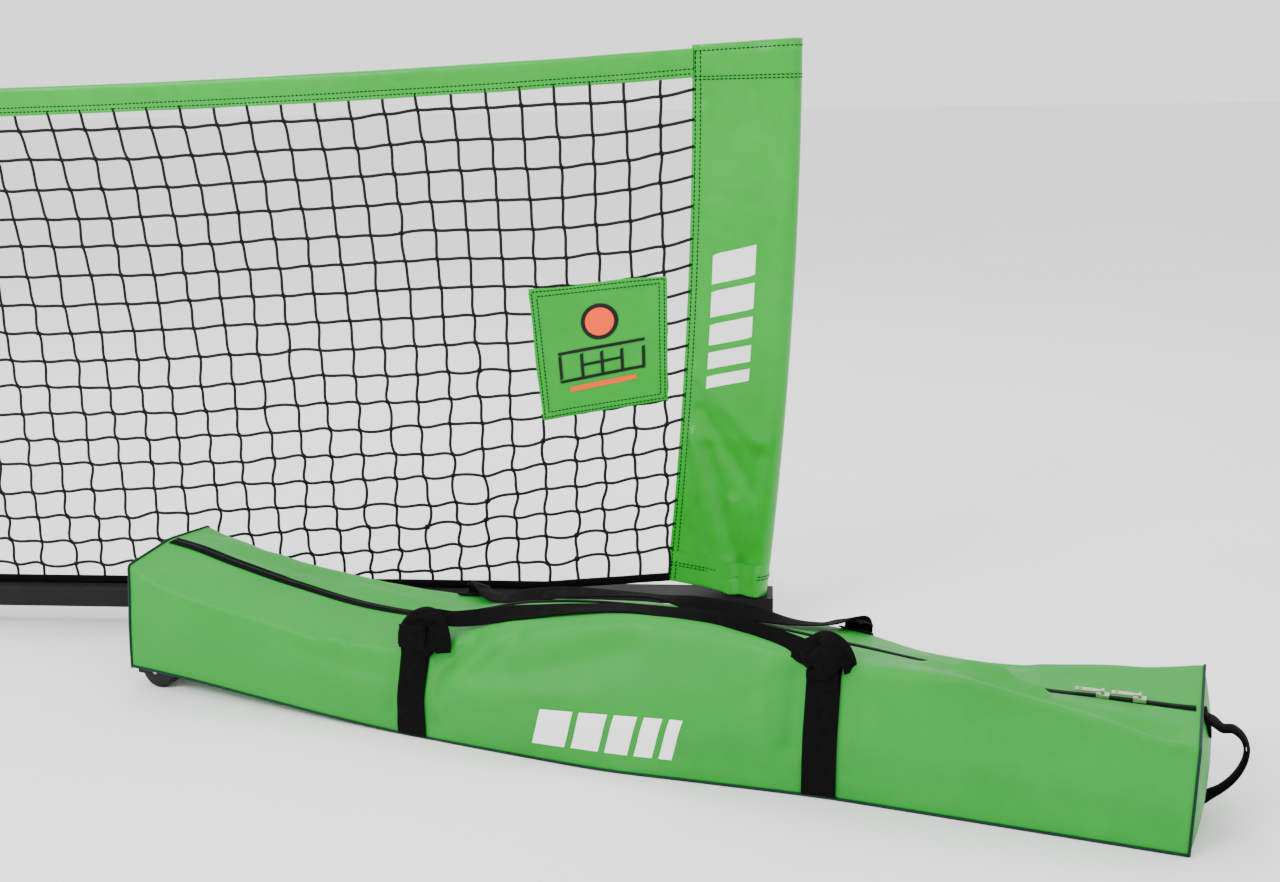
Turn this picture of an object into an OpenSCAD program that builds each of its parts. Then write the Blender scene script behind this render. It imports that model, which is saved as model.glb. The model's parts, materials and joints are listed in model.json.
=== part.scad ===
// Portable court net on a sectional steel base, with its wheeled carry bag.
// Row frame: origin on the floor under the middle of the net, +X to the
// right-hand post, +Y behind the net, +Z up. All sizes in millimetres.

/* [Net] */
// Length of the base bar from end to end
base_len = 5490; // [5200:10:5800]
// Height of the top edge of the net in the middle
net_mid = 855; // [840:1:870]
// Rise of the top edge from the middle to the sleeves
net_rise = 51; // [40:1:60]
// Height of the top band
band_h = 42; // [30:1:60]
// Width of each post sleeve measured inwards from the post's axis
sleeve_in = 139.5; // [120:0.5:150]
// Side of the printed patch
patch_w = 196; // [150:1:205]

/* [Base] */
// Width of the rectangular base tube, front to back
bar_w = 60; // [50:1:70]
// Height of the rectangular base tube
bar_h = 30; // [28:1:34]
// Wall of the base and foot tubes
wall = 1.5; // [1.2:0.1:2]
// Half length of each cross foot, without its rubber caps
foot_half = 270; // [220:5:270]
// Side of the square foot tube
foot_w = 30; // [26:1:30]

/* [Posts] */
// Outer radius of the post tube
post_r = 14; // [12:0.5:14]
// Bend radius of the bowed post
bend_r = 7500; // [7000:100:9000]

/* [Carry bag] */
// Length of the bag
bag_l = 1461; // [1440:1:1500]
// Width of the bag
bag_w = 190.5; // [180:0.5:200]
// Diameter of the transport wheels
wheel_d = 55; // [50:1:56]

/* [Hidden] */

half = base_len / 2;
sec = base_len / 4;
z0 = 40;                       // underside of the bar
z1 = z0 + bar_h;               // top of the bar
cap_t = 2;                     // thickness of the bar's end cap plates
foot_x = half - 48;            // pivots of the end feet
foot_z1 = 35;                  // top of the foot tubes
foot_z0 = foot_z1 - foot_w;    // underside of the foot tubes
coup_t = 2;                    // wall of the inner couplers
button_r = 4;
run = 0.05;                    // radial running clearance

// Bowed post: one long arc, vertical at z_tan, with its foot in a straight socket
z_tan = 910;
z_foot = z1 + 2;               // lower end of the post's axis
z_mid = z1 + 46;               // middle of the socket
post_x = half + 17;            // axis of the post at z_tan
arc_x = post_x - bend_r;       // centre of the bend
lean = asin((z_tan - z_mid) / bend_r);
mid_x = arc_x + bend_r * cos(lean);
post_a = asin((z_tan - z_foot) / bend_r);
sock_r = 17;
lap = bend_r - sleeve_in;      // radius of the sleeve's inner edge
z_slv = 75;                    // bottom of the sleeve at the post
slv_a = asin((z_tan - z_slv) / bend_r);

// Inner edge of a sleeve at height z, and the gap kept to it by the net
function edge_x(z) = arc_x + sqrt(lap * lap - pow(z_tan - z, 2));
slit = 2;
band_end = edge_x(z_tan) - 2.5;
function top_z(x) = net_mid + net_rise * pow(abs(x) / band_end, 3.3);
function hem_z(x) = z1 + 0.5 + 17 * max(0, abs(x) - (half - 361)) / 196;
hem_h = 13;
NX = 40;
xs = [for (i = [0:NX]) -band_end + 2 * band_end * i / NX];

steel = [0.09, 0.09, 0.095];
green = [0.36, 0.71, 0.36];
web = [0.06, 0.06, 0.065];

/* ---------- base ---------- */
module bar_tube(a, b) {
  difference() {
    translate([a, -bar_w / 2, z0]) cube([b - a, bar_w, bar_h]);
    translate([a - 1, -bar_w / 2 + wall, z0 + wall])
      cube([b - a + 2, bar_w - 2 * wall, bar_h - 2 * wall]);
  }
}
module button_hole(x) { translate([x, 0, z0 - 1]) cylinder(r = button_r + run, h = 8, $fn = 48); }
module saddle_hole() { translate([-40, -50, z0 + bar_h / 2]) rotate([-90, 0, 0]) cylinder(r = 3.1, h = 100, $fn = 40); }
module rivet_hole(x) { translate([x, 0, z0 - 1]) cylinder(r = 2.5, h = bar_h + 2, $fn = 32); }

module base_section_1() { color(steel) bar_tube(-half + cap_t, -sec); }
module base_section_2() {
  color(steel) difference() {
    bar_tube(-sec, 0);
    button_hole(-sec + 50);
    saddle_hole();
  }
}
module base_section_3() {
  color(steel) difference() {
    bar_tube(0, sec);
    button_hole(sec - 50);
    button_hole(60);
  }
}
module base_section_4() { color(steel) bar_tube(sec, half - cap_t); }

// Inner coupler: a smaller tube that joins two sections end to end
module coupler_tube(x) {
  difference() {
    translate([x - 100, -bar_w / 2 + wall + 0.25, z0 + wall])
      cube([200, bar_w - 2 * wall - 0.5, bar_h - 2 * wall]);
    translate([x - 101, -bar_w / 2 + wall + 0.25 + coup_t, z0 + wall + coup_t])
      cube([202, bar_w - 2 * wall - 0.5 - 2 * coup_t, bar_h - 2 * wall - 2 * coup_t]);
  }
}
module coupler_left() { color("silver") difference() { coupler_tube(-sec); button_hole(-sec + 50); } }
module coupler_right() { color("silver") difference() { coupler_tube(sec); button_hole(sec - 50); } }
module coupler_centre() { color("silver") difference() { coupler_tube(0); button_hole(60); saddle_hole(); } }

// Spring button: a flanged pin that pops out of the underside of the bar
zb = z0 + wall + coup_t;       // inner floor of a coupler
module lock_button(x) {
  color("gainsboro") translate([x, 0, 0]) {
    translate([0, 0, z0 - 4]) cylinder(r1 = button_r - 1, r2 = button_r, h = 1, $fn = 48);
    translate([0, 0, z0 - 3]) cylinder(r = button_r, h = zb + 0.3 - z0 + 3, $fn = 48);
    translate([0, 0, zb + 0.3]) cylinder(r = button_r + 2, h = 2, $fn = 48);
  }
}
module lock_button_left() { lock_button(-sec + 50); }
module lock_button_centre() { lock_button(60); }
module lock_button_right() { lock_button(sec - 50); }

// Coil spring behind a button, drawn as closed turns on one thin spine
spring_z0 = zb + 2.3;
spring_z1 = z1 - wall - coup_t;
module button_spring(x) {
  n = 6;
  w = 0.6;
  p = (spring_z1 - spring_z0 - 2 * w) / (n - 1);
  color("dimgray") translate([x, 0, 0]) {
    for (i = [0:n - 1]) translate([0, 0, spring_z0 + w + i * p])
      rotate_extrude($fn = 32) translate([3.6, 0]) circle(r = w, $fn = 16);
    translate([3.6, 0, spring_z0 + w]) cylinder(r = 0.4, h = spring_z1 - spring_z0 - 2 * w, $fn = 16);
  }
}
module button_spring_left() { button_spring(-sec + 50); }
module button_spring_centre() { button_spring(60); }
module button_spring_right() { button_spring(sec - 50); }

// Moulded plugs that close the two ends of the bar
module bar_end_caps() {
  color([0.05, 0.05, 0.05]) for (s = [-1, 1]) mirror([s < 0 ? 1 : 0, 0, 0]) {
    translate([half - cap_t, -bar_w / 2, z0]) cube([cap_t, bar_w, bar_h]);
    translate([half - 16, -bar_w / 2 + wall, z0 + wall]) cube([14, bar_w - 2 * wall, bar_h - 2 * wall]);
  }
}

// Saddle that carries the centre foot under the middle joint, with a welded stud
module centre_saddle() {
  color(steel) difference() {
    union() {
      translate([-60, -bar_w / 2 - 3, z0 - 3]) cube([80, bar_w + 6, 3]);
      for (y = [-bar_w / 2 - 3, bar_w / 2]) translate([-60, y, z0]) cube([80, 3, bar_h - 4]);
      translate([0, 0, 14]) cylinder(r = 5, h = z0 - 3 - 14, $fn = 48);
    }
    saddle_hole();
  }
}
module saddle_bolt() {
  y = bar_w / 2 + 3;
  color("silver") translate([-40, 0, z0 + bar_h / 2]) rotate([90, 0, 0]) {
    translate([0, 0, -y]) cylinder(r = 3, h = 2 * y, $fn = 40);
    translate([0, 0, y]) cylinder(r = 5.8, h = 4, $fn = 6);
    translate([0, 0, -y - 5]) cylinder(r = 5.8, h = 5, $fn = 6);
  }
}

/* ---------- feet ---------- */
module pivot_studs() {
  color("silver") for (s = [-1, 1]) translate([s * foot_x, 0, 14]) cylinder(r = 5, h = z0 - 14, $fn = 48);
}
module pivot_nuts() {
  color("silver") for (x = [-foot_x, 0, foot_x]) translate([x, 0, foot_z1 - wall - 8.3]) difference() {
    cylinder(r = 9.8, h = 8, $fn = 6);
    translate([0, 0, -1]) cylinder(r = 5, h = 10, $fn = 48);
  }
}
module pivot_washers() {
  color([0.08, 0.08, 0.08]) for (x = [-foot_x, 0, foot_x]) difference() {
    translate([x, 0, foot_z1 + 0.3]) cylinder(r = 13, h = (x == 0 ? z0 - 3 : z0) - foot_z1 - 0.3, $fn = 64);
    translate([x, 0, foot_z1 - 1]) cylinder(r = 5, h = 10, $fn = 48);
  }
}
module foot_tube(x) {
  color(steel) translate([x, 0, 0]) difference() {
    translate([-foot_w / 2, -foot_half, foot_z0]) cube([foot_w, 2 * foot_half, foot_w]);
    translate([-foot_w / 2 + wall, -foot_half - 1, foot_z0 + wall])
      cube([foot_w - 2 * wall, 2 * foot_half + 2, foot_w - 2 * wall]);
    translate([0, 0, foot_z1 - 5]) cylinder(r = 5 + run, h = 10, $fn = 48);
    translate([0, 0, foot_z0 - 1]) cylinder(r = 11, h = 4, $fn = 48);
  }
}
module foot_left() { foot_tube(-foot_x); }
module foot_centre() { foot_tube(0); }
module foot_right() { foot_tube(foot_x); }

// Rubber caps over both ends of a foot; their soles stand on the floor
module foot_caps(x) {
  color([0.03, 0.03, 0.03]) translate([x, 0, 0]) for (s = [0, 1]) mirror([0, s, 0]) difference() {
    translate([-foot_w / 2 - 2, foot_half - 32, 0]) cube([foot_w + 4, 37, foot_z1 + 2]);
    translate([-foot_w / 2, foot_half - 33, foot_z0]) cube([foot_w, 33, foot_w]);
  }
}
module foot_caps_left() { foot_caps(-foot_x); }
module foot_caps_centre() { foot_caps(0); }
module foot_caps_right() { foot_caps(foot_x); }
module foot_centre_pad() {
  color([0.03, 0.03, 0.03]) {
    cylinder(r = 14, h = foot_z0, $fn = 64);
    translate([0, 0, foot_z0]) cylinder(r = 10.9, h = wall, $fn = 48);
  }
}

/* ---------- posts ---------- */
// Places a child drawn along +Z on the socket's axis, from its middle
module leg() { translate([mid_x, 0, z_mid]) rotate([0, lean, 0]) children(); }
// Sweeps a child profile along the bend, from angle a below z_tan to angle up above it
module bend(a, up = 0) {
  translate([arc_x, 0, z_tan]) rotate([90, 0, 0]) rotate([0, 0, -a])
    rotate_extrude(angle = a + up, $fn = 1800) children();
}
module post_socket() {
  color(steel) difference() {
    leg() translate([0, 0, -60]) cylinder(r = sock_r, h = 104, $fn = 64);
    leg() translate([0, 0, -70]) cylinder(r = post_r + 0.25, h = 130, $fn = 64);
    translate([mid_x - 60, -60, z1 - 60]) cube([120, 120, 60]);
  }
}
module post_tube() {
  color(steel) bend(post_a) translate([bend_r, 0]) difference() {
    circle(r = post_r, $fn = 64);
    circle(r = post_r - wall, $fn = 64);
  }
}
module post_cap() {
  color([0.05, 0.05, 0.05]) translate([post_x, 0, 0]) {
    translate([0, 0, z_tan]) cylinder(r = post_r + 1, h = 3.5, $fn = 64);
    translate([0, 0, z_tan - 15]) cylinder(r = post_r - wall - 0.1, h = 15, $fn = 64);
  }
}
module left() { mirror([1, 0, 0]) children(); }
module post_socket_right() { post_socket(); }
module post_socket_left() { left() post_socket(); }
module post_right() { post_tube(); }
module post_left() { left() post_tube(); }
module post_cap_right() { post_cap(); }
module post_cap_left() { left() post_cap(); }

/* ---------- net ---------- */
module upright(t, y = 0) { translate([0, y + t / 2, 0]) rotate([90, 0, 0]) linear_extrude(height = t) children(); }

// Thin sheet that stands for the knotted netting
hem_k = half - 361;            // the hem rises from here towards each post
net_e = edge_x(hem_z(half) + hem_h) - slit;
net_lo = [for (x = [-net_e, -hem_k, hem_k, net_e]) [x, hem_z(x) + hem_h]];
net_side = [for (k = [1:11]) let (z = hem_z(half) + hem_h + (net_mid + net_rise - 30 - hem_z(half) - hem_h) * k / 12)
  [edge_x(z) - slit, z]];
net_hi = [for (i = [0:NX]) let (x = band_end - 2 * band_end * i / NX) [x, top_z(x) - 29.5]];
module netting() {
  color([0.13, 0.14, 0.15]) upright(1.2)
    polygon(concat(net_lo, net_side, net_hi, [for (k = [10:-1:0]) [-net_side[k][0], net_side[k][1]]]));
}
module ribbon(lo, hi, x0 = band_end) {
  polygon(concat([for (x = xs) [x * x0 / band_end, top_z(x * x0 / band_end) - lo]],
    [for (i = [NX:-1:0]) [xs[i] * x0 / band_end, top_z(xs[i]) - hi]]));
}
// Folded top band with the slot that takes the netting and the headline
module headband() {
  color(green) difference() {
    upright(6) ribbon(band_h, 0);
    upright(3) ribbon(band_h + 5, 2);
  }
}
module headline_strap() { color(web) upright(2) ribbon(28, 3, band_end - 1); }
module bottom_webbing() {
  e = edge_x(hem_z(half)) - slit;
  w = [-e, -hem_k, hem_k, e];
  color(web) upright(3.6)
    polygon(concat([for (x = w) [x, hem_z(x)]], [for (i = [3:-1:0]) [w[i], hem_z(w[i]) + hem_h]]));
}
// Fabric patch sewn on the front of the netting near the right-hand sleeve
module net_patch() {
  x = half - 162;
  color([0.45, 0.75, 0.42]) upright(2, -1.6)
    polygon([[x - patch_w, 350], [x - 1, 383], [x, 576], [x - patch_w - 17, 554]]);
}
// Sleeve: a flat wing and a pocket that slips over the post and its socket
pock = 18.5;
module sleeve() {
  color(green) bend(slv_a, asin(6 / bend_r)) translate([bend_r, 0]) difference() {
    polygon([[-sleeve_in, -1.5], [-pock - 2, -1.5], [-pock - 2, -pock - 2], [pock + 2, -pock - 2],
      [pock + 2, pock + 2], [-pock - 2, pock + 2], [-pock - 2, 1.5], [-sleeve_in, 1.5]]);
    square([2 * pock, 2 * pock], center = true);
  }
}
module sleeve_right() { sleeve(); }
module sleeve_left() { left() sleeve(); }

/* ---------- carry bag ---------- */
// Bag frame: x along the bag, y across it, z up from its bottom panel
bag_yaw = 16.085;
bag_tilt = 1.2546;
module in_bag() {
  translate([1809.2, -255.8, 32]) rotate([0, 0, -bag_yaw]) rotate([0, bag_tilt, 0]) children();
}
pt = 2;                        // panel thickness
// Height of the top panel along the bag: it sags, and rises over the load in the middle
PROF = [[0, 162], [400, 114], [500, 118], [700, 158], [900, 160], [1050, 150], [1270, 134], [bag_l, 142]];
h_l = PROF[0][1];
h_r = PROF[7][1];
mid_w = bag_w / 2;
house_l = 62;
house_h = 30;
function lid(l) = lookup(l, PROF);
lid_a = atan((PROF[7][1] - PROF[6][1]) / (bag_l - PROF[6][0]));
module slab(y, t) { translate([0, y + t, 0]) rotate([90, 0, 0]) linear_extrude(height = t) children(); }

module bag_bottom() { color(green) in_bag() translate([house_l, 0, 0]) cube([bag_l - house_l, bag_w, pt]); }
module side_shape() {
  polygon(concat([[0, 0], [house_l, 0], [house_l, pt], [bag_l, pt]], [for (i = [7:-1:0]) PROF[i] - [0, pt]]));
}
module bag_front() { color(green) in_bag() slab(0, pt) side_shape(); }
module bag_back() { color(green) in_bag() slab(bag_w - pt, pt) side_shape(); }
module bag_end_left() { color(green) in_bag() translate([0, pt, house_h]) cube([pt, bag_w - 2 * pt, h_l - pt - house_h - 0.3]); }
module bag_end_right() {
  color(green) in_bag() {
    translate([bag_l - pt, pt, pt]) cube([pt, bag_w - 2 * pt, h_r - 2 * pt - 0.1]);
    for (z = [20, 120]) translate([bag_l, mid_w - 16, z]) cube([2.5, 32, 13]);
  }
}
module top_shape(a, b) {
  polygon(concat([for (p = PROF) p - [0, a]], [for (i = [7:-1:0]) PROF[i] + [0, b]]));
}
module bag_top_front() { color(green) in_bag() slab(0, mid_w - 5) top_shape(pt, 0); }
module bag_top_back() { color(green) in_bag() slab(mid_w + 5, mid_w - 5) top_shape(pt, 0); }
module bag_zip_chain() {
  color(web) in_bag() {
    slab(mid_w - 5, 10) top_shape(1.5, -0.2);
    slab(mid_w - 2, 4) top_shape(1.5, 1.6);
  }
}
// Frame on the zip's line at distance l along the bag
module on_zip(l) { in_bag() translate([l, mid_w, lid(l)]) rotate([0, -lid_a, 0]) children(); }
module zip_slider(l) {
  color("silver") on_zip(l) {
    difference() {
      translate([-7.5, -5.5, 0.4]) cube([15, 11, 4.6]);
      translate([-9, -2.4, -1]) cube([18, 4.8, 3.2]);
    }
    for (y = [-4.6, 3.4]) translate([-2, y, 5]) cube([4, 1.2, 5]);
    translate([0, -3.5, 8]) rotate([-90, 0, 0]) cylinder(r = 0.9, h = 7, $fn = 32);
  }
}
l_1 = 1350;
l_2 = 1392;
module zip_slider_1() { zip_slider(l_1); }
module zip_slider_2() { zip_slider(l_2); }
// Pull tab: an eye round the slider's bar and a flat tapered tongue
module zip_pull(l, s) {
  color("silver") on_zip(l) translate([0, 0, 8]) mirror([s < 0 ? 1 : 0, 0, 0]) difference() {
    union() {
      translate([0, -2.9, 0]) rotate([-90, 0, 0]) cylinder(r = 2.2, h = 5.8, $fn = 32);
      translate([0, -2.9, -0.9]) cube([8, 5.8, 1.8]);
      translate([8, -4.5, -0.9]) cube([24, 9, 1.8]);
    }
    translate([0, -4, 0]) rotate([-90, 0, 0]) cylinder(r = 0.9 + run, h = 8, $fn = 32);
    translate([26, 0, -2]) cylinder(r = 2.2, h = 4, $fn = 32);
  }
}
module zip_pull_1() { zip_pull(l_1, -1); }
module zip_pull_2() { zip_pull(l_2, -1); }

// Webbing that wraps under the bag and up both sides, at two stations
str_w = 38;
st = [449, 1012];
wt = 1.6;
hinge_h = [138, 172];          // height of each handle's stitching above the bottom panel
module bag_straps() {
  color(web) in_bag() for (i = [0, 1]) {
    translate([st[i], -wt, -wt]) cube([str_w, bag_w + 2 * wt, wt]);
    for (y = [-wt, bag_w]) translate([st[i], y, 0]) cube([str_w, wt, hinge_h[i] - 2.5]);
  }
}
// Carry handle: a webbing loop lying over the top, sewn on where the straps end
hand_z = 18;
hand_a = atan((hinge_h[1] - hinge_h[0]) / (st[1] - st[0]));
module carry_handle() {
  translate([st[0] + str_w / 2, 0, hinge_h[0]]) rotate([0, -hand_a, 0]) {
    span = (st[1] - st[0]) / cos(hand_a);
    for (l = [0, span]) {
      translate([l - str_w / 2, -wt, 0]) cube([str_w, wt, hand_z + 3]);
      translate([l - str_w / 2, 0, hand_z]) cube([str_w, 46, 3]);
    }
    translate([-str_w / 2, 46, hand_z]) cube([span + str_w, 38, 3]);
  }
}
module carry_handle_front() { color(web) in_bag() carry_handle(); }
module carry_handle_back() { color(web) in_bag() translate([0, bag_w, 0]) mirror([0, 1, 0]) carry_handle(); }

// Towing handle on the end face, swinging about its two sewn-on roots
tow_x = bag_l + 6;
module end_handle() {
  color(web) in_bag() {
    for (z = [25, 125]) {
      translate([tow_x, mid_w, z]) cylinder(r = 3, h = 3, $fn = 32);
      translate([tow_x, mid_w - 2.5, z]) cube([9, 5, 3]);
      translate([tow_x + 8, mid_w - 15, z]) cube([34, 30, 3]);
    }
    translate([tow_x + 39, mid_w - 15, 28]) cube([3, 30, 97]);
  }
}

// Transport wheels: moulded housing under the bag's left end, one axle, two wheels
wheel_l = 28;
wheel_c = (wheel_d / 2 - 32 + wheel_l * sin(bag_tilt)) / cos(bag_tilt);
module across(y, h, r, f = 64) { translate([wheel_l, y, wheel_c]) rotate([-90, 0, 0]) cylinder(r = r, h = h, $fn = f); }
module wheel_housing() {
  color([0.05, 0.05, 0.05]) in_bag() difference() {
    translate([0, pt, -8]) cube([house_l, bag_w - 2 * pt, house_h + 8]);
    across(8, 26, wheel_d / 2 + 2);
    across(bag_w - 34, 26, wheel_d / 2 + 2);
    translate([3, 40, -9]) cube([house_l - 6, bag_w - 80, house_h + 6]);
    across(-1, bag_w + 2, 4);
  }
}
module wheel_axle() { color("silver") in_bag() across(pt + 1, bag_w - 2 * pt - 2, 4, 48); }
module wheel(y) {
  color([0.04, 0.04, 0.04]) in_bag() difference() {
    union() {
      across(y + 1.5, 19, wheel_d / 2);
      across(y, 22, wheel_d / 2 - 3);
    }
    across(y - 1, 24, 4 + run, 48);
  }
}
module wheel_front() { wheel(10); }
module wheel_back() { wheel(bag_w - 32); }

base_section_1();
base_section_2();
base_section_3();
base_section_4();
coupler_left();
coupler_centre();
coupler_right();
lock_button_left();
lock_button_centre();
lock_button_right();
button_spring_left();
button_spring_centre();
button_spring_right();
bar_end_caps();
centre_saddle();
saddle_bolt();
pivot_studs();
pivot_nuts();
pivot_washers();
foot_left();
foot_centre();
foot_right();
foot_caps_left();
foot_caps_centre();
foot_caps_right();
foot_centre_pad();
post_socket_left();
post_socket_right();
post_left();
post_right();
post_cap_left();
post_cap_right();
netting();
headband();
headline_strap();
bottom_webbing();
net_patch();
sleeve_left();
sleeve_right();
bag_bottom();
bag_front();
bag_back();
bag_end_left();
bag_end_right();
bag_top_front();
bag_top_back();
bag_zip_chain();
zip_slider_1();
zip_slider_2();
zip_pull_1();
zip_pull_2();
bag_straps();
carry_handle_front();
carry_handle_back();
end_handle();
wheel_housing();
wheel_axle();
wheel_front();
wheel_back();
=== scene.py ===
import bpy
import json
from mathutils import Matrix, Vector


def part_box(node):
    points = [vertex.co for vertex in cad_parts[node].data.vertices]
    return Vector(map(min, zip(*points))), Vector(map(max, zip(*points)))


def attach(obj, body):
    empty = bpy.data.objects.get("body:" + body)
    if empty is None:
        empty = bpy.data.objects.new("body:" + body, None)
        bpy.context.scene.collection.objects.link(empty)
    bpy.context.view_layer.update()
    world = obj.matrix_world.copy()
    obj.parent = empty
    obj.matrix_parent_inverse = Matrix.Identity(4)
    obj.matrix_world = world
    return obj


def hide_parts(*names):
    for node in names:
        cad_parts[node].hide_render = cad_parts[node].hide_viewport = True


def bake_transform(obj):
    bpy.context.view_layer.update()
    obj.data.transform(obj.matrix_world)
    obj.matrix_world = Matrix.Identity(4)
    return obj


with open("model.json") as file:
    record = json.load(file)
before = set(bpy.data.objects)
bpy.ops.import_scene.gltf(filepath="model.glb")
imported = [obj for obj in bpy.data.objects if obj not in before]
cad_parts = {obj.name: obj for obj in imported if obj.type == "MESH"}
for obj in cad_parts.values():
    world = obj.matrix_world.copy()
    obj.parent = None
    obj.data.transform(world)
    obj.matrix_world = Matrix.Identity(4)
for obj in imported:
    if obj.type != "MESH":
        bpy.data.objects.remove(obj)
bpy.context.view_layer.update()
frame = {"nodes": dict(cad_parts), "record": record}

import json
import math
import bpy
import numpy as np
from mathutils import Matrix, Vector

NODES = frame["nodes"]
RS = np.random.RandomState(41)
COLL = bpy.context.scene.collection

# ------------------------------------------------------------------ camera
FPX, PITCH, YAW, ROLL = 1469.68, 14.2163, -5.0176, -0.9362
CAM = (2.7312, -2.2081, 0.8778)


def make_camera():
    e, a, r = map(math.radians, (PITCH, YAW, ROLL))
    fw = Vector((math.sin(a) * math.cos(e), math.cos(a) * math.cos(e), -math.sin(e)))
    right = Vector((math.cos(a), -math.sin(a), 0))
    up = right.cross(fw)
    R = right * math.cos(r) + up * math.sin(r)
    U = -right * math.sin(r) + up * math.cos(r)
    cam = bpy.data.cameras.new("camera")
    cam.sensor_width = 36
    cam.lens = FPX * 36 / 1280
    cam.clip_end = 60
    o = bpy.data.objects.new("camera", cam)
    COLL.objects.link(o)
    m = Matrix((R, U, -fw)).transposed().to_4x4()
    m.translation = Vector(CAM)
    o.matrix_world = m
    bpy.context.scene.camera = o


make_camera()


# ------------------------------------------------------------------ materials
def new_mat(name):
    m = bpy.data.materials.new(name)
    m.use_nodes = True
    nt = m.node_tree
    return m, nt, nt.nodes["Principled BSDF"]


def lin(r, g, b):
    f = lambda c: c / 12.92 if c <= 0.04045 else ((c + 0.055) / 1.055) ** 2.4
    return (f(r / 255), f(g / 255), f(b / 255), 1)


def noise(nt, vec, scale, detail=3, rough=0.55):
    n = nt.nodes.new("ShaderNodeTexNoise")
    n.inputs["Scale"].default_value = scale
    n.inputs["Detail"].default_value = detail
    n.inputs["Roughness"].default_value = rough
    nt.links.new(vec, n.inputs["Vector"])
    return n.outputs["Fac"]


def ramp(nt, fac, lo, hi, a=0.0, b=1.0):
    n = nt.nodes.new("ShaderNodeMapRange")
    n.inputs["From Min"].default_value = lo
    n.inputs["From Max"].default_value = hi
    n.inputs["To Min"].default_value = a
    n.inputs["To Max"].default_value = b
    nt.links.new(fac, n.inputs["Value"])
    return n.outputs["Result"]


def mix(nt, fac, c1, c2):
    n = nt.nodes.new("ShaderNodeMix")
    n.data_type = "RGBA"
    nt.links.new(fac, n.inputs["Factor"])
    for i, c in ((6, c1), (7, c2)):
        if isinstance(c, tuple):
            n.inputs[i].default_value = c
        else:
            nt.links.new(c, n.inputs[i])
    return n.outputs[2]


def wave(nt, vec, scale, direction, profile="SIN", dist=0.0):
    n = nt.nodes.new("ShaderNodeTexWave")
    n.wave_type = "BANDS"
    n.bands_direction = direction
    n.wave_profile = profile
    n.inputs["Scale"].default_value = scale
    n.inputs["Distortion"].default_value = dist
    nt.links.new(vec, n.inputs["Vector"])
    return n.outputs["Fac"]


def math_node(nt, op, a, b):
    n = nt.nodes.new("ShaderNodeMath")
    n.operation = op
    for i, v in enumerate((a, b)):
        if isinstance(v, (int, float)):
            n.inputs[i].default_value = v
        else:
            nt.links.new(v, n.inputs[i])
    return n.outputs[0]


def bump(nt, bsdf, height, strength, distance, under=None):
    n = nt.nodes.new("ShaderNodeBump")
    n.inputs["Strength"].default_value = strength
    n.inputs["Distance"].default_value = distance
    nt.links.new(height, n.inputs["Height"])
    if under is not None:
        nt.links.new(under, n.inputs["Normal"])
    nt.links.new(n.outputs["Normal"], bsdf.inputs["Normal"])
    return n.outputs["Normal"]


def coords(nt, kind="Object"):
    return nt.nodes.new("ShaderNodeTexCoord").outputs[kind]


def coated_fabric(name, c_lo, c_hi, rough=(0.36, 0.5), weave=0.12, pitch=0.0011, spec=0.5, coat=0.0):
    """Coated cloth: a scrim weave showing faintly through a smooth skin, with soft dirt and sheen."""
    m, nt, b = new_mat(name)
    v = coords(nt)
    big = noise(nt, v, 5, 4)
    mid = noise(nt, v, 42, 4)
    fine = noise(nt, v, 900, 2)
    tone = math_node(nt, "ADD", math_node(nt, "MULTIPLY", big, 0.65), math_node(nt, "MULTIPLY", mid, 0.35))
    col = mix(nt, ramp(nt, tone, 0.36, 0.64), c_lo, c_hi)
    speck = ramp(nt, noise(nt, v, 1500, 1), 0.62, 0.8, 0, 0.16)
    col = mix(nt, speck, col, tuple(min(1, c * 1.35 + 0.006) for c in c_hi[:3]) + (1,))
    nt.links.new(col, b.inputs["Base Color"])
    nt.links.new(ramp(nt, mid, 0.3, 0.7, rough[0], rough[1]), b.inputs["Roughness"])
    b.inputs["Specular IOR Level"].default_value = spec
    b.inputs["Coat Weight"].default_value = coat
    b.inputs["Coat Roughness"].default_value = 0.3
    b.inputs["Sheen Weight"].default_value = 0.02
    s = math.pi / pitch / (2 * math.pi) * 0.32
    wx = wave(nt, v, s, "X")
    wz = wave(nt, v, s, "Z")
    h = math_node(nt, "ADD", math_node(nt, "MULTIPLY", math_node(nt, "MAXIMUM", wx, wz), 0.7), math_node(nt, "MULTIPLY", fine, 0.6))
    n1 = bump(nt, b, h, weave, 0.0006)
    bump(nt, b, mid, 0.12, 0.004, n1)
    return m


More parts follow.
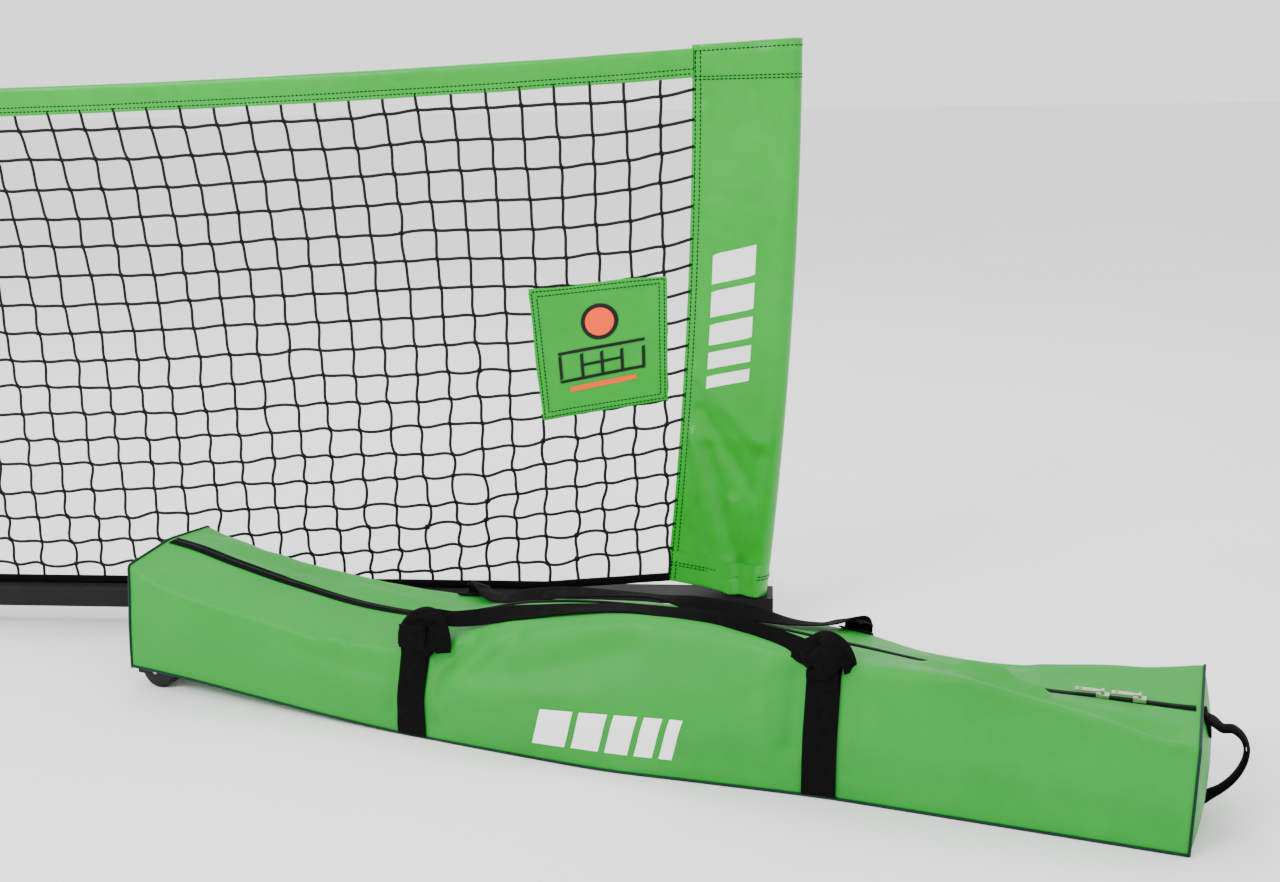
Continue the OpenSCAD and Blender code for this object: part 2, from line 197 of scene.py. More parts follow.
def webbing_mat(name, c=(17, 17, 17)):
    """Woven polyester webbing: ribs across its length and a herringbone along it, from UVs in metres."""
    m, nt, b = new_mat(name)
    uv = coords(nt, "UV")
    v = coords(nt)
    mp = nt.nodes.new("ShaderNodeMapping")
    mp.inputs["Scale"].default_value = (1, 1, 1)
    nt.links.new(uv, mp.inputs["Vector"])
    across = wave(nt, mp.outputs[0], 260, "X", "SIN", 0.6)
    along = wave(nt, mp.outputs[0], 120, "Y", "TRI", 0.2)
    h = math_node(nt, "MULTIPLY", across, along)
    dark = tuple(x * 0.00010 for x in c) + (1,)
    light = tuple(x * 0.00042 for x in c) + (1,)
    f = math_node(nt, "ADD", math_node(nt, "MULTIPLY", h, 0.6), math_node(nt, "MULTIPLY", noise(nt, v, 120, 3), 0.5))
    nt.links.new(mix(nt, ramp(nt, f, 0.2, 0.9), dark, light), b.inputs["Base Color"])
    nt.links.new(ramp(nt, noise(nt, v, 60), 0.3, 0.7, 0.6, 0.8), b.inputs["Roughness"])
    b.inputs["Sheen Weight"].default_value = 0.01
    b.inputs["Sheen Roughness"].default_value = 0.4
    b.inputs["Specular IOR Level"].default_value = 0.025
    bump(nt, b, h, 0.7, 0.0009)
    return m


def coat_metal(name, c=(27, 26, 27)):
    """Satin black powder coat with a fine orange-peel and slightly polished edges."""
    m, nt, b = new_mat(name)
    v = coords(nt)
    peel = noise(nt, v, 700, 3)
    big = noise(nt, v, 9, 4)
    geo = nt.nodes.new("ShaderNodeNewGeometry")
    edge = ramp(nt, geo.outputs["Pointiness"], 0.52, 0.6, 0, 0.35)
    col = mix(nt, ramp(nt, big, 0.3, 0.7), (0.0034, 0.0032, 0.0033, 1), (0.0056, 0.0052, 0.0053, 1))
    nt.links.new(mix(nt, edge, col, (0.03, 0.029, 0.028, 1)), b.inputs["Base Color"])
    nt.links.new(ramp(nt, big, 0.3, 0.7, 0.34, 0.48), b.inputs["Roughness"])
    b.inputs["Specular IOR Level"].default_value = 0.05
    bv = nt.nodes.new("ShaderNodeBevel")
    bv.samples = 4
    bv.inputs["Radius"].default_value = 0.0016
    bump(nt, b, peel, 0.12, 0.0005, bv.outputs["Normal"])
    return m


def plastic(name, c, rough=(0.4, 0.55), bevel=0.001, spec=0.4):
    m, nt, b = new_mat(name)
    v = coords(nt)
    n = noise(nt, v, 260, 4)
    big = noise(nt, v, 14, 4)
    k = 0.00022
    nt.links.new(mix(nt, ramp(nt, big, 0.3, 0.7), tuple(x * k for x in c) + (1,), tuple(x * k * 1.8 for x in c) + (1,)), b.inputs["Base Color"])
    nt.links.new(ramp(nt, big, 0.3, 0.7, *rough), b.inputs["Roughness"])
    b.inputs["Specular IOR Level"].default_value = spec * 0.35
    bv = nt.nodes.new("ShaderNodeBevel")
    bv.samples = 4
    bv.inputs["Radius"].default_value = bevel
    bump(nt, b, n, 0.15, 0.0004, bv.outputs["Normal"])
    return m


def metal(name, c, rough=(0.2, 0.38)):
    m, nt, b = new_mat(name)
    v = coords(nt)
    st = nt.nodes.new("ShaderNodeMapping")
    st.inputs["Scale"].default_value = (1, 1, 9)
    nt.links.new(v, st.inputs["Vector"])
    n = noise(nt, st.outputs[0], 260, 4)
    nt.links.new(mix(nt, ramp(nt, n, 0.3, 0.7), lin(*c), lin(*(max(0, x - 34) for x in c))), b.inputs["Base Color"])
    b.inputs["Metallic"].default_value = 1
    nt.links.new(ramp(nt, n, 0.3, 0.7, *rough), b.inputs["Roughness"])
    bv = nt.nodes.new("ShaderNodeBevel")
    bv.samples = 4
    bv.inputs["Radius"].default_value = 0.0004
    bump(nt, b, n, 0.1, 0.0002, bv.outputs["Normal"])
    return m


def cord_mat(name):
    """Twisted nylon cord: a tight diagonal lay and a dry, dark charcoal colour."""
    m, nt, b = new_mat(name)
    uv = coords(nt, "UV")
    v = coords(nt)
    mp = nt.nodes.new("ShaderNodeMapping")
    mp.inputs["Rotation"].default_value = (0, 0, 0.7)
    nt.links.new(uv, mp.inputs["Vector"])
    tw = wave(nt, mp.outputs[0], 150, "X", "SIN", 0.4)
    n = noise(nt, v, 500, 3)
    f = math_node(nt, "ADD", math_node(nt, "MULTIPLY", tw, 0.6), math_node(nt, "MULTIPLY", n, 0.5))
    nt.links.new(mix(nt, ramp(nt, f, 0.2, 0.9), (0.003, 0.0032, 0.0034, 1), (0.017, 0.0175, 0.018, 1)), b.inputs["Base Color"])
    b.inputs["Specular IOR Level"].default_value = 0.1
    nt.links.new(ramp(nt, n, 0.3, 0.7, 0.6, 0.8), b.inputs["Roughness"])
    b.inputs["Sheen Weight"].default_value = 0.01
    bump(nt, b, f, 0.6, 0.0008)
    return m


def print_mat(name, c):
    """Screen-printed ink: a flat colour broken very slightly by the cloth under it."""
    m, nt, b = new_mat(name)
    v = coords(nt)
    n = noise(nt, v, 700, 3)
    nt.links.new(mix(nt, ramp(nt, n, 0.35, 0.75), tuple(c) + (1,), tuple(x * 0.93 for x in c) + (1,)), b.inputs["Base Color"])
    b.inputs["Specular IOR Level"].default_value = 0.2
    nt.links.new(ramp(nt, n, 0.3, 0.7, 0.4, 0.55), b.inputs["Roughness"])
    bump(nt, b, n, 0.15, 0.0004)
    return m


M_VINYL = coated_fabric("green_vinyl", (0.001, 0.275, 0.008, 1), (0.003, 0.325, 0.014, 1), (0.3, 0.42), 0.1, 0.0012, 0.35, 0.06)
M_BAND = coated_fabric("green_band", (0.001, 0.285, 0.009, 1), (0.004, 0.335, 0.015, 1), (0.34, 0.48), 0.12, 0.0011, 0.35, 0.03)
M_BAG = coated_fabric("green_bag", (0.001, 0.225, 0.012, 1), (0.004, 0.262, 0.018, 1), (0.46, 0.6), 0.2, 0.0009, 0.3)
M_PATCH = coated_fabric("green_patch", (0.001, 0.275, 0.010, 1), (0.004, 0.325, 0.016, 1), (0.42, 0.55), 0.2, 0.001, 0.3)
M_WEB = webbing_mat("black_webbing")
M_TAPE = webbing_mat("zip_tape", (15, 20, 19))
M_STEEL = coat_metal("black_coat")
M_PLASTIC = plastic("black_plastic", (20, 20, 21))
M_WHEEL = plastic("wheel_plastic", (22, 22, 23), (0.22, 0.34), 0.002, 0.5)
M_RUBBER = plastic("black_rubber", (24, 24, 24), (0.7, 0.85), 0.0015, 0.25)
M_ZINC = metal("zinc", (176, 178, 180), (0.3, 0.45))
M_NICKEL = metal("nickel", (214, 208, 196), (0.16, 0.3))
M_CORD = cord_mat("net_cord")
M_WHITE = print_mat("ink_white", (0.9, 0.9, 0.89))
M_INK = print_mat("ink_black", (0.004, 0.005, 0.004))
M_ORANGE = print_mat("ink_orange", (0.95, 0.075, 0.0005))
M_PIPE = coated_fabric("piping", (0.002, 0.012, 0.010, 1), (0.004, 0.024, 0.018, 1), (0.4, 0.5), 0.1, 0.0011, 0.15)
M_THREAD = cord_mat("thread")
for n in M_THREAD.node_tree.nodes:
    if n.type == "MIX":
        n.inputs[6].default_value = (0.001, 0.022, 0.003, 1)
        n.inputs[7].default_value = (0.003, 0.05, 0.008, 1)

SLOT_MATS = {"base_black": M_STEEL, "zinc_steel": M_ZINC, "black_plastic": M_PLASTIC, "black_rubber": M_RUBBER,
             "nickel": M_NICKEL, "wheel_black": M_WHEEL, "netting_cord": M_CORD, "green_vinyl": M_VINYL,
             "patch_fabric": M_PATCH, "black_webbing": M_WEB, "bag_fabric": M_BAG, "zip_tape": M_TAPE}
for sp in frame["record"]["subparts"]:
    o = NODES.get(sp["node"])
    if o is not None:
        o.data.materials.clear()
        o.data.materials.append(SLOT_MATS[sp["material_slot"]])


# ------------------------------------------------------------------ mesh helpers
class Builder:
    def __init__(self):
        self.v, self.f, self.uv, self.mi, self.n = [], [], [], [], 0

    def add(self, verts, faces, uvs=None, mi=0):
        verts = np.asarray(verts, float).reshape(-1, 3)
        self.v.append(verts)
        uvs = np.zeros((len(verts), 2)) if uvs is None else np.asarray(uvs, float).reshape(-1, 2)
        self.uv.append(uvs)
        for fc in faces:
            self.f.append([int(i) + self.n for i in fc])
            self.mi.append(mi)
        self.n += len(verts)

    def grid(self, P, close_u=False, close_v=False, uvs=None, mi=0, flip=False):
        P = np.asarray(P, float)
        nu, nv = P.shape[:2]
        idx = np.arange(nu * nv).reshape(nu, nv)
        a = idx if close_u else idx[:-1]
        b = np.roll(idx, -1, 0) if close_u else idx[1:]
        if close_v:
            a2, b2 = np.roll(a, -1, 1), np.roll(b, -1, 1)
        else:
            a, a2, b, b2 = a[:, :-1], a[:, 1:], b[:, :-1], b[:, 1:]
        q = np.stack([a, b, b2, a2], -1).reshape(-1, 4)
        if flip:
            q = q[:, ::-1]
        self.add(P.reshape(-1, 3), q.tolist(), uvs, mi)

    def obj(self, name, mats, smooth=True, sharp=None):
        me = bpy.data.meshes.new(name)
        v = np.concatenate(self.v)
        me.from_pydata(v.tolist(), [], self.f)
        uv = np.concatenate(self.uv)
        lay = me.uv_layers.new(name="UVMap")
        li = np.zeros(len(me.loops), np.int32)
        me.loops.foreach_get("vertex_index", li)
        lay.data.foreach_set("uv", uv[li].astype(np.float32).ravel())
        for m in mats:
            me.materials.append(m)
        me.polygons.foreach_set("material_index", np.array(self.mi, np.int32))
        me.polygons.foreach_set("use_smooth", np.full(len(self.f), smooth))
        me.validate()
        me.update()
        o = bpy.data.objects.new(name, me)
        COLL.objects.link(o)
        if sharp is not None:
            me.set_sharp_from_angle(angle=math.radians(sharp))
        return o


def unit(a):
    return a / np.maximum(np.linalg.norm(a, axis=-1, keepdims=True), 1e-12)


def herm(xs, Y, x):
    xs = np.asarray(xs, float)
    Y = np.asarray(Y, float)
    Y = Y.reshape(len(xs), -1)
    T = np.zeros_like(Y)
    T[1:-1] = (Y[2:] - Y[:-2]) / (xs[2:] - xs[:-2])[:, None]
    T[0] = (Y[1] - Y[0]) / (xs[1] - xs[0])
    T[-1] = (Y[-1] - Y[-2]) / (xs[-1] - xs[-2])
    x = np.clip(np.asarray(x, float), xs[0], xs[-1])
    i = np.clip(np.searchsorted(xs, x, "right") - 1, 0, len(xs) - 2)
    h = (xs[i + 1] - xs[i])[:, None]
    t = ((x - xs[i])[:, None]) / h
    return ((2 * t**3 - 3 * t**2 + 1) * Y[i] + (t**3 - 2 * t**2 + t) * h * T[i]
            + (-2 * t**3 + 3 * t**2) * Y[i + 1] + (t**3 - t**2) * h * T[i + 1])


def resample(P, n):
    P = np.asarray(P, float)
    d = np.r_[0, np.cumsum(np.linalg.norm(np.diff(P, axis=0), axis=1))]
    t = np.linspace(0, d[-1], n)
    return np.stack([np.interp(t, d, P[:, k]) for k in range(P.shape[1])], 1)


def smooth_path(P, n):
    P = np.asarray(P, float)
    d = np.r_[0, np.cumsum(np.linalg.norm(np.diff(P[:, :3], axis=0), axis=1))]
    return resample(herm(d, P, np.linspace(0, d[-1], n * 4)), n)


def tube(B, P, r, sides=8, cap=True, ref=(0, 1, 0), mi=0):
    P = np.asarray(P, float)
    T = unit(np.gradient(P, axis=0))
    ref = np.broadcast_to(np.asarray(ref, float), P.shape)
    N = unit(np.cross(T, ref))
    Bn = np.cross(N, T)
    a = np.arange(sides) * 2 * math.pi / sides
    r = np.broadcast_to(np.asarray(r, float), (len(P),))
    ring = P[:, None] + r[:, None, None] * (np.cos(a)[None, :, None] * N[:, None] + np.sin(a)[None, :, None] * Bn[:, None])
    d = np.r_[0, np.cumsum(np.linalg.norm(np.diff(P, axis=0), axis=1))]
    uv = np.stack(np.broadcast_arrays(d[:, None], (a * r.mean())[None, :]), -1)
    k = B.n
    B.grid(ring, close_v=True, uvs=uv, mi=mi)
    if cap:
        B.f.append([k + i for i in range(sides)])
        B.f.append([k + (len(P) - 1) * sides + i for i in range(sides)][::-1])
        B.mi += [mi, mi]


def value_noise(shape_pts, cell, seed):
    """Smooth noise in -1..1 at points (n, k), on a lattice of that cell size."""
    p = np.asarray(shape_pts, float) / cell
    k = p.shape[-1]
    i = np.floor(p).astype(int)
    f = p - i
    f = f * f * (3 - 2 * f)
    out = 0
    for c in range(2**k):
        off = np.array([(c >> j) & 1 for j in range(k)])
        g = i + off
        h = seed * 7919
        for j in range(k):
            h = (h * 31 + g[..., j] * [73856093, 19349663, 83492791][j]) & 0x7FFFFFFF
            h = ((h ^ (h >> 13)) * 1274126177) & 0x7FFFFFFF
        val = (h & 0xFFFF) / 32767.5 - 1
        w = 1
        for j in range(k):
            w = w * (f[..., j] if off[j] else 1 - f[..., j])
        out = out + val * w
    return out


def sstep(x, a, b):
    t = np.clip((np.asarray(x, float) - a) / (b - a), 0, 1)
    return t * t * (3 - 2 * t)


def ribbon(B, P, N, width, thick=0.0017, nx=6, mi=0, cup=0.0):
    """Webbing: a flat band with rounded selvedges along P, its face along N."""
    P = np.asarray(P, float)
    T = unit(np.gradient(P, axis=0))
    N = np.broadcast_to(np.asarray(N, float), P.shape)
    N = unit(N - (N * T).sum(1, keepdims=True) * T)
    S = np.cross(T, N)
    w = np.broadcast_to(np.asarray(width, float), (len(P),))
    x = np.linspace(-1, 1, nx + 1)
    prof = [(t, 0.5) for t in x[1:-1] * 1.0] + [(0.985, 0.28), (1.0, 0.0), (0.985, -0.28)]
    prof += [(-t, -0.5) for t in x[1:-1]] + [(-0.985, -0.28), (-1.0, 0.0), (-0.985, 0.28)]
    prof = np.array([(-0.93, 0.5)] + prof[: nx - 1] + [(0.93, 0.5)] + prof[nx - 1 : nx + 2] + [(0.93, -0.5)]
                    + prof[nx + 2 : 2 * nx + 1] + [(-0.93, -0.5)] + prof[2 * nx + 1 :])
    ring = (P[:, None] + (prof[:, 0][None, :, None] * (w / 2)[:, None, None]) * S[:, None]
            + ((prof[:, 1] * thick)[None, :, None] + (cup * (1 - prof[:, 0] ** 2))[None, :, None]) * N[:, None])
    d = np.r_[0, np.cumsum(np.linalg.norm(np.diff(P, axis=0), axis=1))]
    uv = np.stack(np.broadcast_arrays(d[:, None], (prof[:, 0] * w.mean() / 2)[None, :]), -1)
    k = B.n
    m = len(prof)
    B.grid(ring, close_v=True, uvs=uv, mi=mi)
    B.f.append([k + i for i in range(m)])
    B.f.append([k + (len(P) - 1) * m + i for i in range(m)][::-1])
    B.mi += [mi, mi]


def stitches(B, P, N, length=0.0042, gap=0.0022, r=0.0008, mi=0, lift=0.0006):
    length, gap = length + 0.0010, gap - 0.0012
    """A row of single thread stitches along P, lying on the surface whose normal is N."""
    P = np.asarray(P, float)
    d = np.r_[0, np.cumsum(np.linalg.norm(np.diff(P, axis=0), axis=1))]
    N = np.broadcast_to(np.asarray(N, float), P.shape)
    pitch = length + gap
    c = np.arange(pitch / 2, d[-1], pitch)
    at = lambda s, A: np.stack([np.interp(s, d, A[:, k]) for k in range(3)], 1)
    p, n = at(c, P), unit(at(c, N))
    t = unit(at(c + length / 2, P) - at(c - length / 2, P))
    s = np.cross(t, n)
    p = p + n * lift
    h = length / 2
    V = np.stack([p - t * h, p + s * r - t * h * 0.55, p + n * r - t * h * 0.55, p - s * r - t * h * 0.55,
                  p + s * r + t * h * 0.55, p + n * r + t * h * 0.55, p - s * r + t * h * 0.55, p + t * h,
                  p - n * r * 0.6 - t * h * 0.55, p - n * r * 0.6 + t * h * 0.55], 1)
    F = [(0, 1, 2), (0, 2, 3), (0, 3, 8), (0, 8, 1), (1, 4, 5, 2), (2, 5, 6, 3), (3, 6, 9, 8), (8, 9, 4, 1),
         (7, 5, 4), (7, 6, 5), (7, 9, 6), (7, 4, 9)]
    faces = [[i * 10 + a for a in f] for i in range(len(c)) for f in F]
    B.add(V.reshape(-1, 3), faces, mi=mi)


# ------------------------------------------------------------------ net geometry (metres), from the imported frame
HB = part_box("headband")
BAND_END = HB[1].x
MID_TOP, RISE, BAND_H = 0.855, 0.051, 0.042
BEND_R, POST_X, Z_TAN, SLV_IN = 7.5, 2.762, 0.910, 0.1395
ARC_X = POST_X - BEND_R
LAP = BEND_R - SLV_IN
BAR_TOP = 0.070


def band_top(x):
    return MID_TOP + RISE * np.power(np.abs(x) / BAND_END, 3.3)


def edge_x(z):
    return ARC_X + np.sqrt(LAP**2 - (Z_TAN - z) ** 2)


def hem_z(x):
    return BAR_TOP + 0.0005 + 0.017 * np.maximum(0, np.abs(x) - 2.384) / 0.196


def mirror(P, s):
    P = np.array(P, float)
    P[..., 0] *= s
    return P


ROW_X = [0, 1.63, 1.82, 2.01, 2.11, 2.21, 2.30, 2.40, 2.50, 2.55, 2.62]
ROWS = [  # height of each row of knots at those distances from the middle, from the bottom row up
    [.020, .020, .030, .045, .055, .060, .070, .082, .092, .097, .112], [.063, .063, .068, .085, .095, .099, .107, .115, .130, .139, .143],
    [.103, .103, .108, .125, .132, .136, .149, .158, .169, .176, .182], [.143, .143, .150, .165, .169, .172, .186, .197, .207, .215, .221],
    [.183, .183, .195, .205, .208, .210, .220, .238, .251, .258, .266], [.228, .228, .237, .246, .250, .253, .259, .281, .289, .298, .308],
    [.273, .273, .277, .288, .292, .294, .303, .320, .330, .338, .350], [.313, .313, .318, .330, .333, .337, .343, .357, .371, .380, .391],
    [.356, .356, .359, .373, .375, .379, .385, .392, .405, .415, .430], [.400, .400, .402, .417, .418, .423, .428, .430, .440, .455, .469],
    [.443, .443, .448, .459, .462, .466, .471, .473, .480, .495, .510], [.487, .487, .493, .503, .507, .511, .514, .516, .522, .534, .551],
    [.531, .531, .537, .548, .551, .556, .558, .560, .562, .573, .589], [.577, .577, .580, .590, .593, .601, .602, .601, .608, .612, .628],
    [.623, .623, .624, .633, .636, .644, .645, .645, .653, .660, .679], [.666, .666, .669, .678, .680, .687, .690, .689, .699, .705, .723],
    [.710, .710, .713, .723, .725, .731, .735, .735, .742, .749, .766], [.756, .756, .758, .767, .768, .777, .780, .780, .786, .790, .805],
    [.800, .800, .803, .809, .813, .822, .825, .828, .830, .833, .846]]


def netting(side):
    rs = np.random.RandomState(7 if side > 0 else 8)
    nc = 50
    pitch = 2.575 / (nc - 0.5)
    r = 0.0024
    B = Builder()
    nr = len(ROWS)

    def row_z(k, x):
        return float(np.interp(x, ROW_X, ROWS[k]))

    def shear(x, z):
        d = np.maximum(0, band_top(x) - BAND_H - z)
        return 0.072 * np.sin(math.pi * x / 2.62) * (1 - np.exp(-d / 0.25))

    K, A = {}, {}
    for j in range(nc):
        x0 = (j + 0.5) * pitch
        for k in range(nr):
            z = row_z(k, x0)
            x = float(x0 + shear(x0, z))
            z = row_z(k, x)
            if float(hem_z(x)) + 0.019 < z < band_top(x) - BAND_H - 0.006:
                slack = float(1 - sstep(z, 0.15, 0.62))
                K[j, k] = (x + rs.normal(0, 0.0009 + 0.0014 * slack), z + rs.normal(0, 0.0007 + 0.0014 * slack))
                A[j, k] = -(0.19 + 0.28 * slack) * rs.uniform(0.55, 1.4)
                if rs.uniform() < 0.02 + 0.05 * slack:
                    A[j, k] *= -0.8
    t = np.linspace(0, 1, 7)[:, None]
    h0, h1, h2, h3 = 2 * t**3 - 3 * t**2 + 1, t**3 - 2 * t**2 + t, -2 * t**3 + 3 * t**2, t**3 - t**2

    def run(pts, dirs):
        """A strand through knots: (x, z) points, with the angle each knot turns it by."""
        out = [np.array(pts[:1], float)]
        for (a, ta), (b, tb) in zip(zip(pts[:-1], dirs[:-1]), zip(pts[1:], dirs[1:])):
            a, b = np.array(a, float), np.array(b, float)
            d = b - a
            rot = lambda g: np.array([d[0] * math.cos(g) - d[1] * math.sin(g), d[0] * math.sin(g) + d[1] * math.cos(g)])
            q = h0 * a + h1 * rot(ta) + h2 * b + h3 * rot(tb)
            out.append(q[1:])
        return np.concatenate(out)

    def strand(pts, dirs, y0):
        P2 = run(pts, dirs)
        y = y0 + 0.0006 * np.sin(np.arange(len(P2)) * 0.9 + rs.uniform(0, 6))
        tube(B, mirror(np.stack([P2[:, 0], y, P2[:, 1]], 1), side), r, 6, True)

    for j in range(nc):
        ks = [k for k in range(nr) if (j, k) in K]
        x0, z0 = K[j, ks[0]]
        xt, zt = K[j, ks[-1]]
        x_top = xt - float(shear(xt, zt - 0.04) - shear(xt, zt)) * 0.6
        pts = [(x0 + 0.002, float(hem_z(x0)) + 0.0105)] + [K[j, k] for k in ks] + [(x_top, float(band_top(x_top)) - BAND_H + 0.006)]
        dirs = [rs.uniform(-0.1, 0.1)] + [-A[j, k] for k in ks] + [rs.uniform(-0.1, 0.1)]
        strand(pts, dirs, 0.0004)
    for k in range(nr):
        js = [j for j in range(nc) if (j, k) in K]
        if not js:
            continue
        x0, z0 = K[js[0], k]
        if js[0] == 0:
            pts = [(0.0, z0)]
        else:
            xa = x0 - pitch * 0.9
            pts = [(xa, float(hem_z(xa)) + 0.010)]
        pts += [K[j, k] for j in js]
        xe, ze = K[js[-1], k]
        ze = row_z(k, 2.62)
        xs = float(edge_x(ze)) + 0.004
        pts.append((xs, ze + rs.uniform(-0.002, 0.002)))
        dirs = [0.0] + [A[j, k] * 0.8 for j in js] + [0.0]
        strand(pts, dirs, -0.0004)
    # knots: a small wrapped lump at each crossing
    ph = np.linspace(0, 2 * math.pi, 8, endpoint=False)
    th = np.array([0.22, 0.5, 0.78]) * math.pi
    base = [(0, 0, 1.0)] + [(math.sin(a) * math.cos(b), math.sin(a) * math.sin(b), math.cos(a)) for a in th for b in ph] + [(0, 0, -1.0)]
    base = np.array(base)
    F = [[0, 1 + i, 1 + (i + 1) % 8] for i in range(8)]
    F += [[1 + 8 * a + i, 9 + 8 * a + i, 9 + 8 * a + (i + 1) % 8, 1 + 8 * a + (i + 1) % 8] for a in (0, 1) for i in range(8)]
    F += [[25, 17 + (i + 1) % 8, 17 + i] for i in range(8)]
    lump = 1 + 0.12 * np.sin(3 * np.arctan2(base[:, 1], base[:, 0]) + 2 * base[:, 2])
    V, FF = [], []
    for q, ((j, k), (x, z)) in enumerate(sorted(K.items())):
        ang = -0.7 + rs.normal(0, 0.25)
        v = base * lump[:, None] * np.array([0.0048, 0.0034, 0.0034]) * rs.uniform(0.92, 1.1)
        ca, sa = math.cos(ang), math.sin(ang)
        vx = v[:, 0] * ca - v[:, 2] * sa + x
        vz = v[:, 0] * sa + v[:, 2] * ca + z
        V.append(mirror(np.stack([vx, v[:, 1], vz], 1), side))
        FF += [[a + q * 26 for a in (f if side > 0 else f[::-1])] for f in F]
    B.add(np.concatenate(V), FF)
    return B.obj("netting_right" if side > 0 else "netting_left", [M_CORD])


def blend_end(o):
    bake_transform(o)


for side in (1, -1):
    o = netting(side)
    blend_end(o)
    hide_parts("netting")


def headband(side):
    n = 330
    x = np.linspace(0, BAND_END + 0.004, n)
    top = band_top(x)
    # half profile from the front bottom edge over the fold to the back bottom edge
    prof = [(-0.0021, -BAND_H), (-0.0024, -BAND_H + 0.0015), (-0.0025, -0.038), (-0.0021, -0.0368), (-0.0024, -0.034), (-0.0026, -0.0318),
            (-0.0022, -0.0302), (-0.0028, -0.0275), (-0.0036, -0.022), (-0.0041, -0.015), (-0.0042, -0.008), (-0.0036, -0.0035), (-0.0022, -0.0009), (0, 0)]
    full = prof + [(-y, z) for y, z in prof[-2::-1]]
    P = np.zeros((n, len(full), 3))
    for i, (y, z) in enumerate(full):
        P[:, i, 0] = x
        sgn = -1 if y < 0 else (1 if y > 0 else 0)
        q = np.stack([x * (1 if side > 0 else 1.13) + (0.31 if y > 0 else 0), np.full(n, z * 1.6)], 1)
        w = value_noise(q, 0.045, 3) * 0.0007 + value_noise(q, 0.016, 5) * 0.00035
        w = w + 0.0005 * np.sin(x * 230 + 3 * value_noise(q, 0.2, 9)) * (z < -0.028)
        P[:, i, 1] = y + sgn * w + 0.0012 * value_noise(np.stack([x, x * 0], 1), 0.3, 11)
        P[:, i, 2] = top + z + 0.0006 * value_noise(np.stack([x, x * 0 + i], 1), 0.09, 13)
    B = Builder()
    P = mirror(P, side)
    arc = np.r_[0, np.cumsum(np.hypot(*np.diff(np.array(full), axis=0).T))]
    uv = np.stack(np.broadcast_arrays(x[:, None], arc[None, :]), -1)
    B.grid(P, uvs=uv, flip=side > 0)
    o = B.obj("headband_right" if side > 0 else "headband_left", [M_BAND])
    S = Builder()
    for i in (3, 6):
        for ii, yn in ((i, -1), (len(full) - 1 - i, 1)):
            stitches(S, P[:, ii], (0, yn, 0), 0.0040, 0.0024)
    so = S.obj("band_stitching_right" if side > 0 else "band_stitching_left", [M_THREAD])
    return o, so


for side in (1, -1):
    o, so = headband(side)
    for q in (o, so):
        blend_end(q)
    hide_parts("headband", "headline_strap")


def bottom_webbing(side):
    n = 300
    e = float(edge_x(0.09)) + 0.004
    x = np.linspace(0, e, n)
    z0 = hem_z(x)
    wob = 0.0006 * value_noise(np.stack([x, x * 0], 1), 0.05, 21) * sstep(x, 0, 0.1)
    prof = [(-0.0018, 0.0), (-0.0026, 0.002), (-0.0027, 0.0065), (-0.0024, 0.011), (-0.0012, 0.0128), (0.0012, 0.0128),
            (0.0024, 0.011), (0.0027, 0.0065), (0.0026, 0.002), (0.0018, 0.0)]
    P = np.zeros((n, len(prof), 3))
    for i, (y, z) in enumerate(prof):
        P[:, i] = np.stack([x, y + wob, z0 + z], 1)
    uv = np.stack(np.broadcast_arrays(x[:, None], np.linspace(0, 0.026, len(prof))[None, :]), -1)
    B = Builder()
    B.grid(mirror(P, side), close_v=True, uvs=uv, flip=side > 0)
    k = len(prof)
    B.f.append([i for i in range(k)])
    B.f.append([(n - 1) * k + i for i in range(k)][::-1])
    B.mi += [0, 0]
    return B.obj("bottom_webbing_right" if side > 0 else "bottom_webbing_left", [M_WEB])


for side in (1, -1):
    o = bottom_webbing(side)
    blend_end(o)
    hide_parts("bottom_webbing")


# ------------------------------------------------------------------ sleeves
def seg_dist(P, A, Bp):
    A, Bp = np.asarray(A, float), np.asarray(Bp, float)
    d = Bp - A
    t = np.clip(((P - A) @ d) / (d @ d), 0, 1)
    return np.linalg.norm(P - (A + t[..., None] * d), axis=-1), t


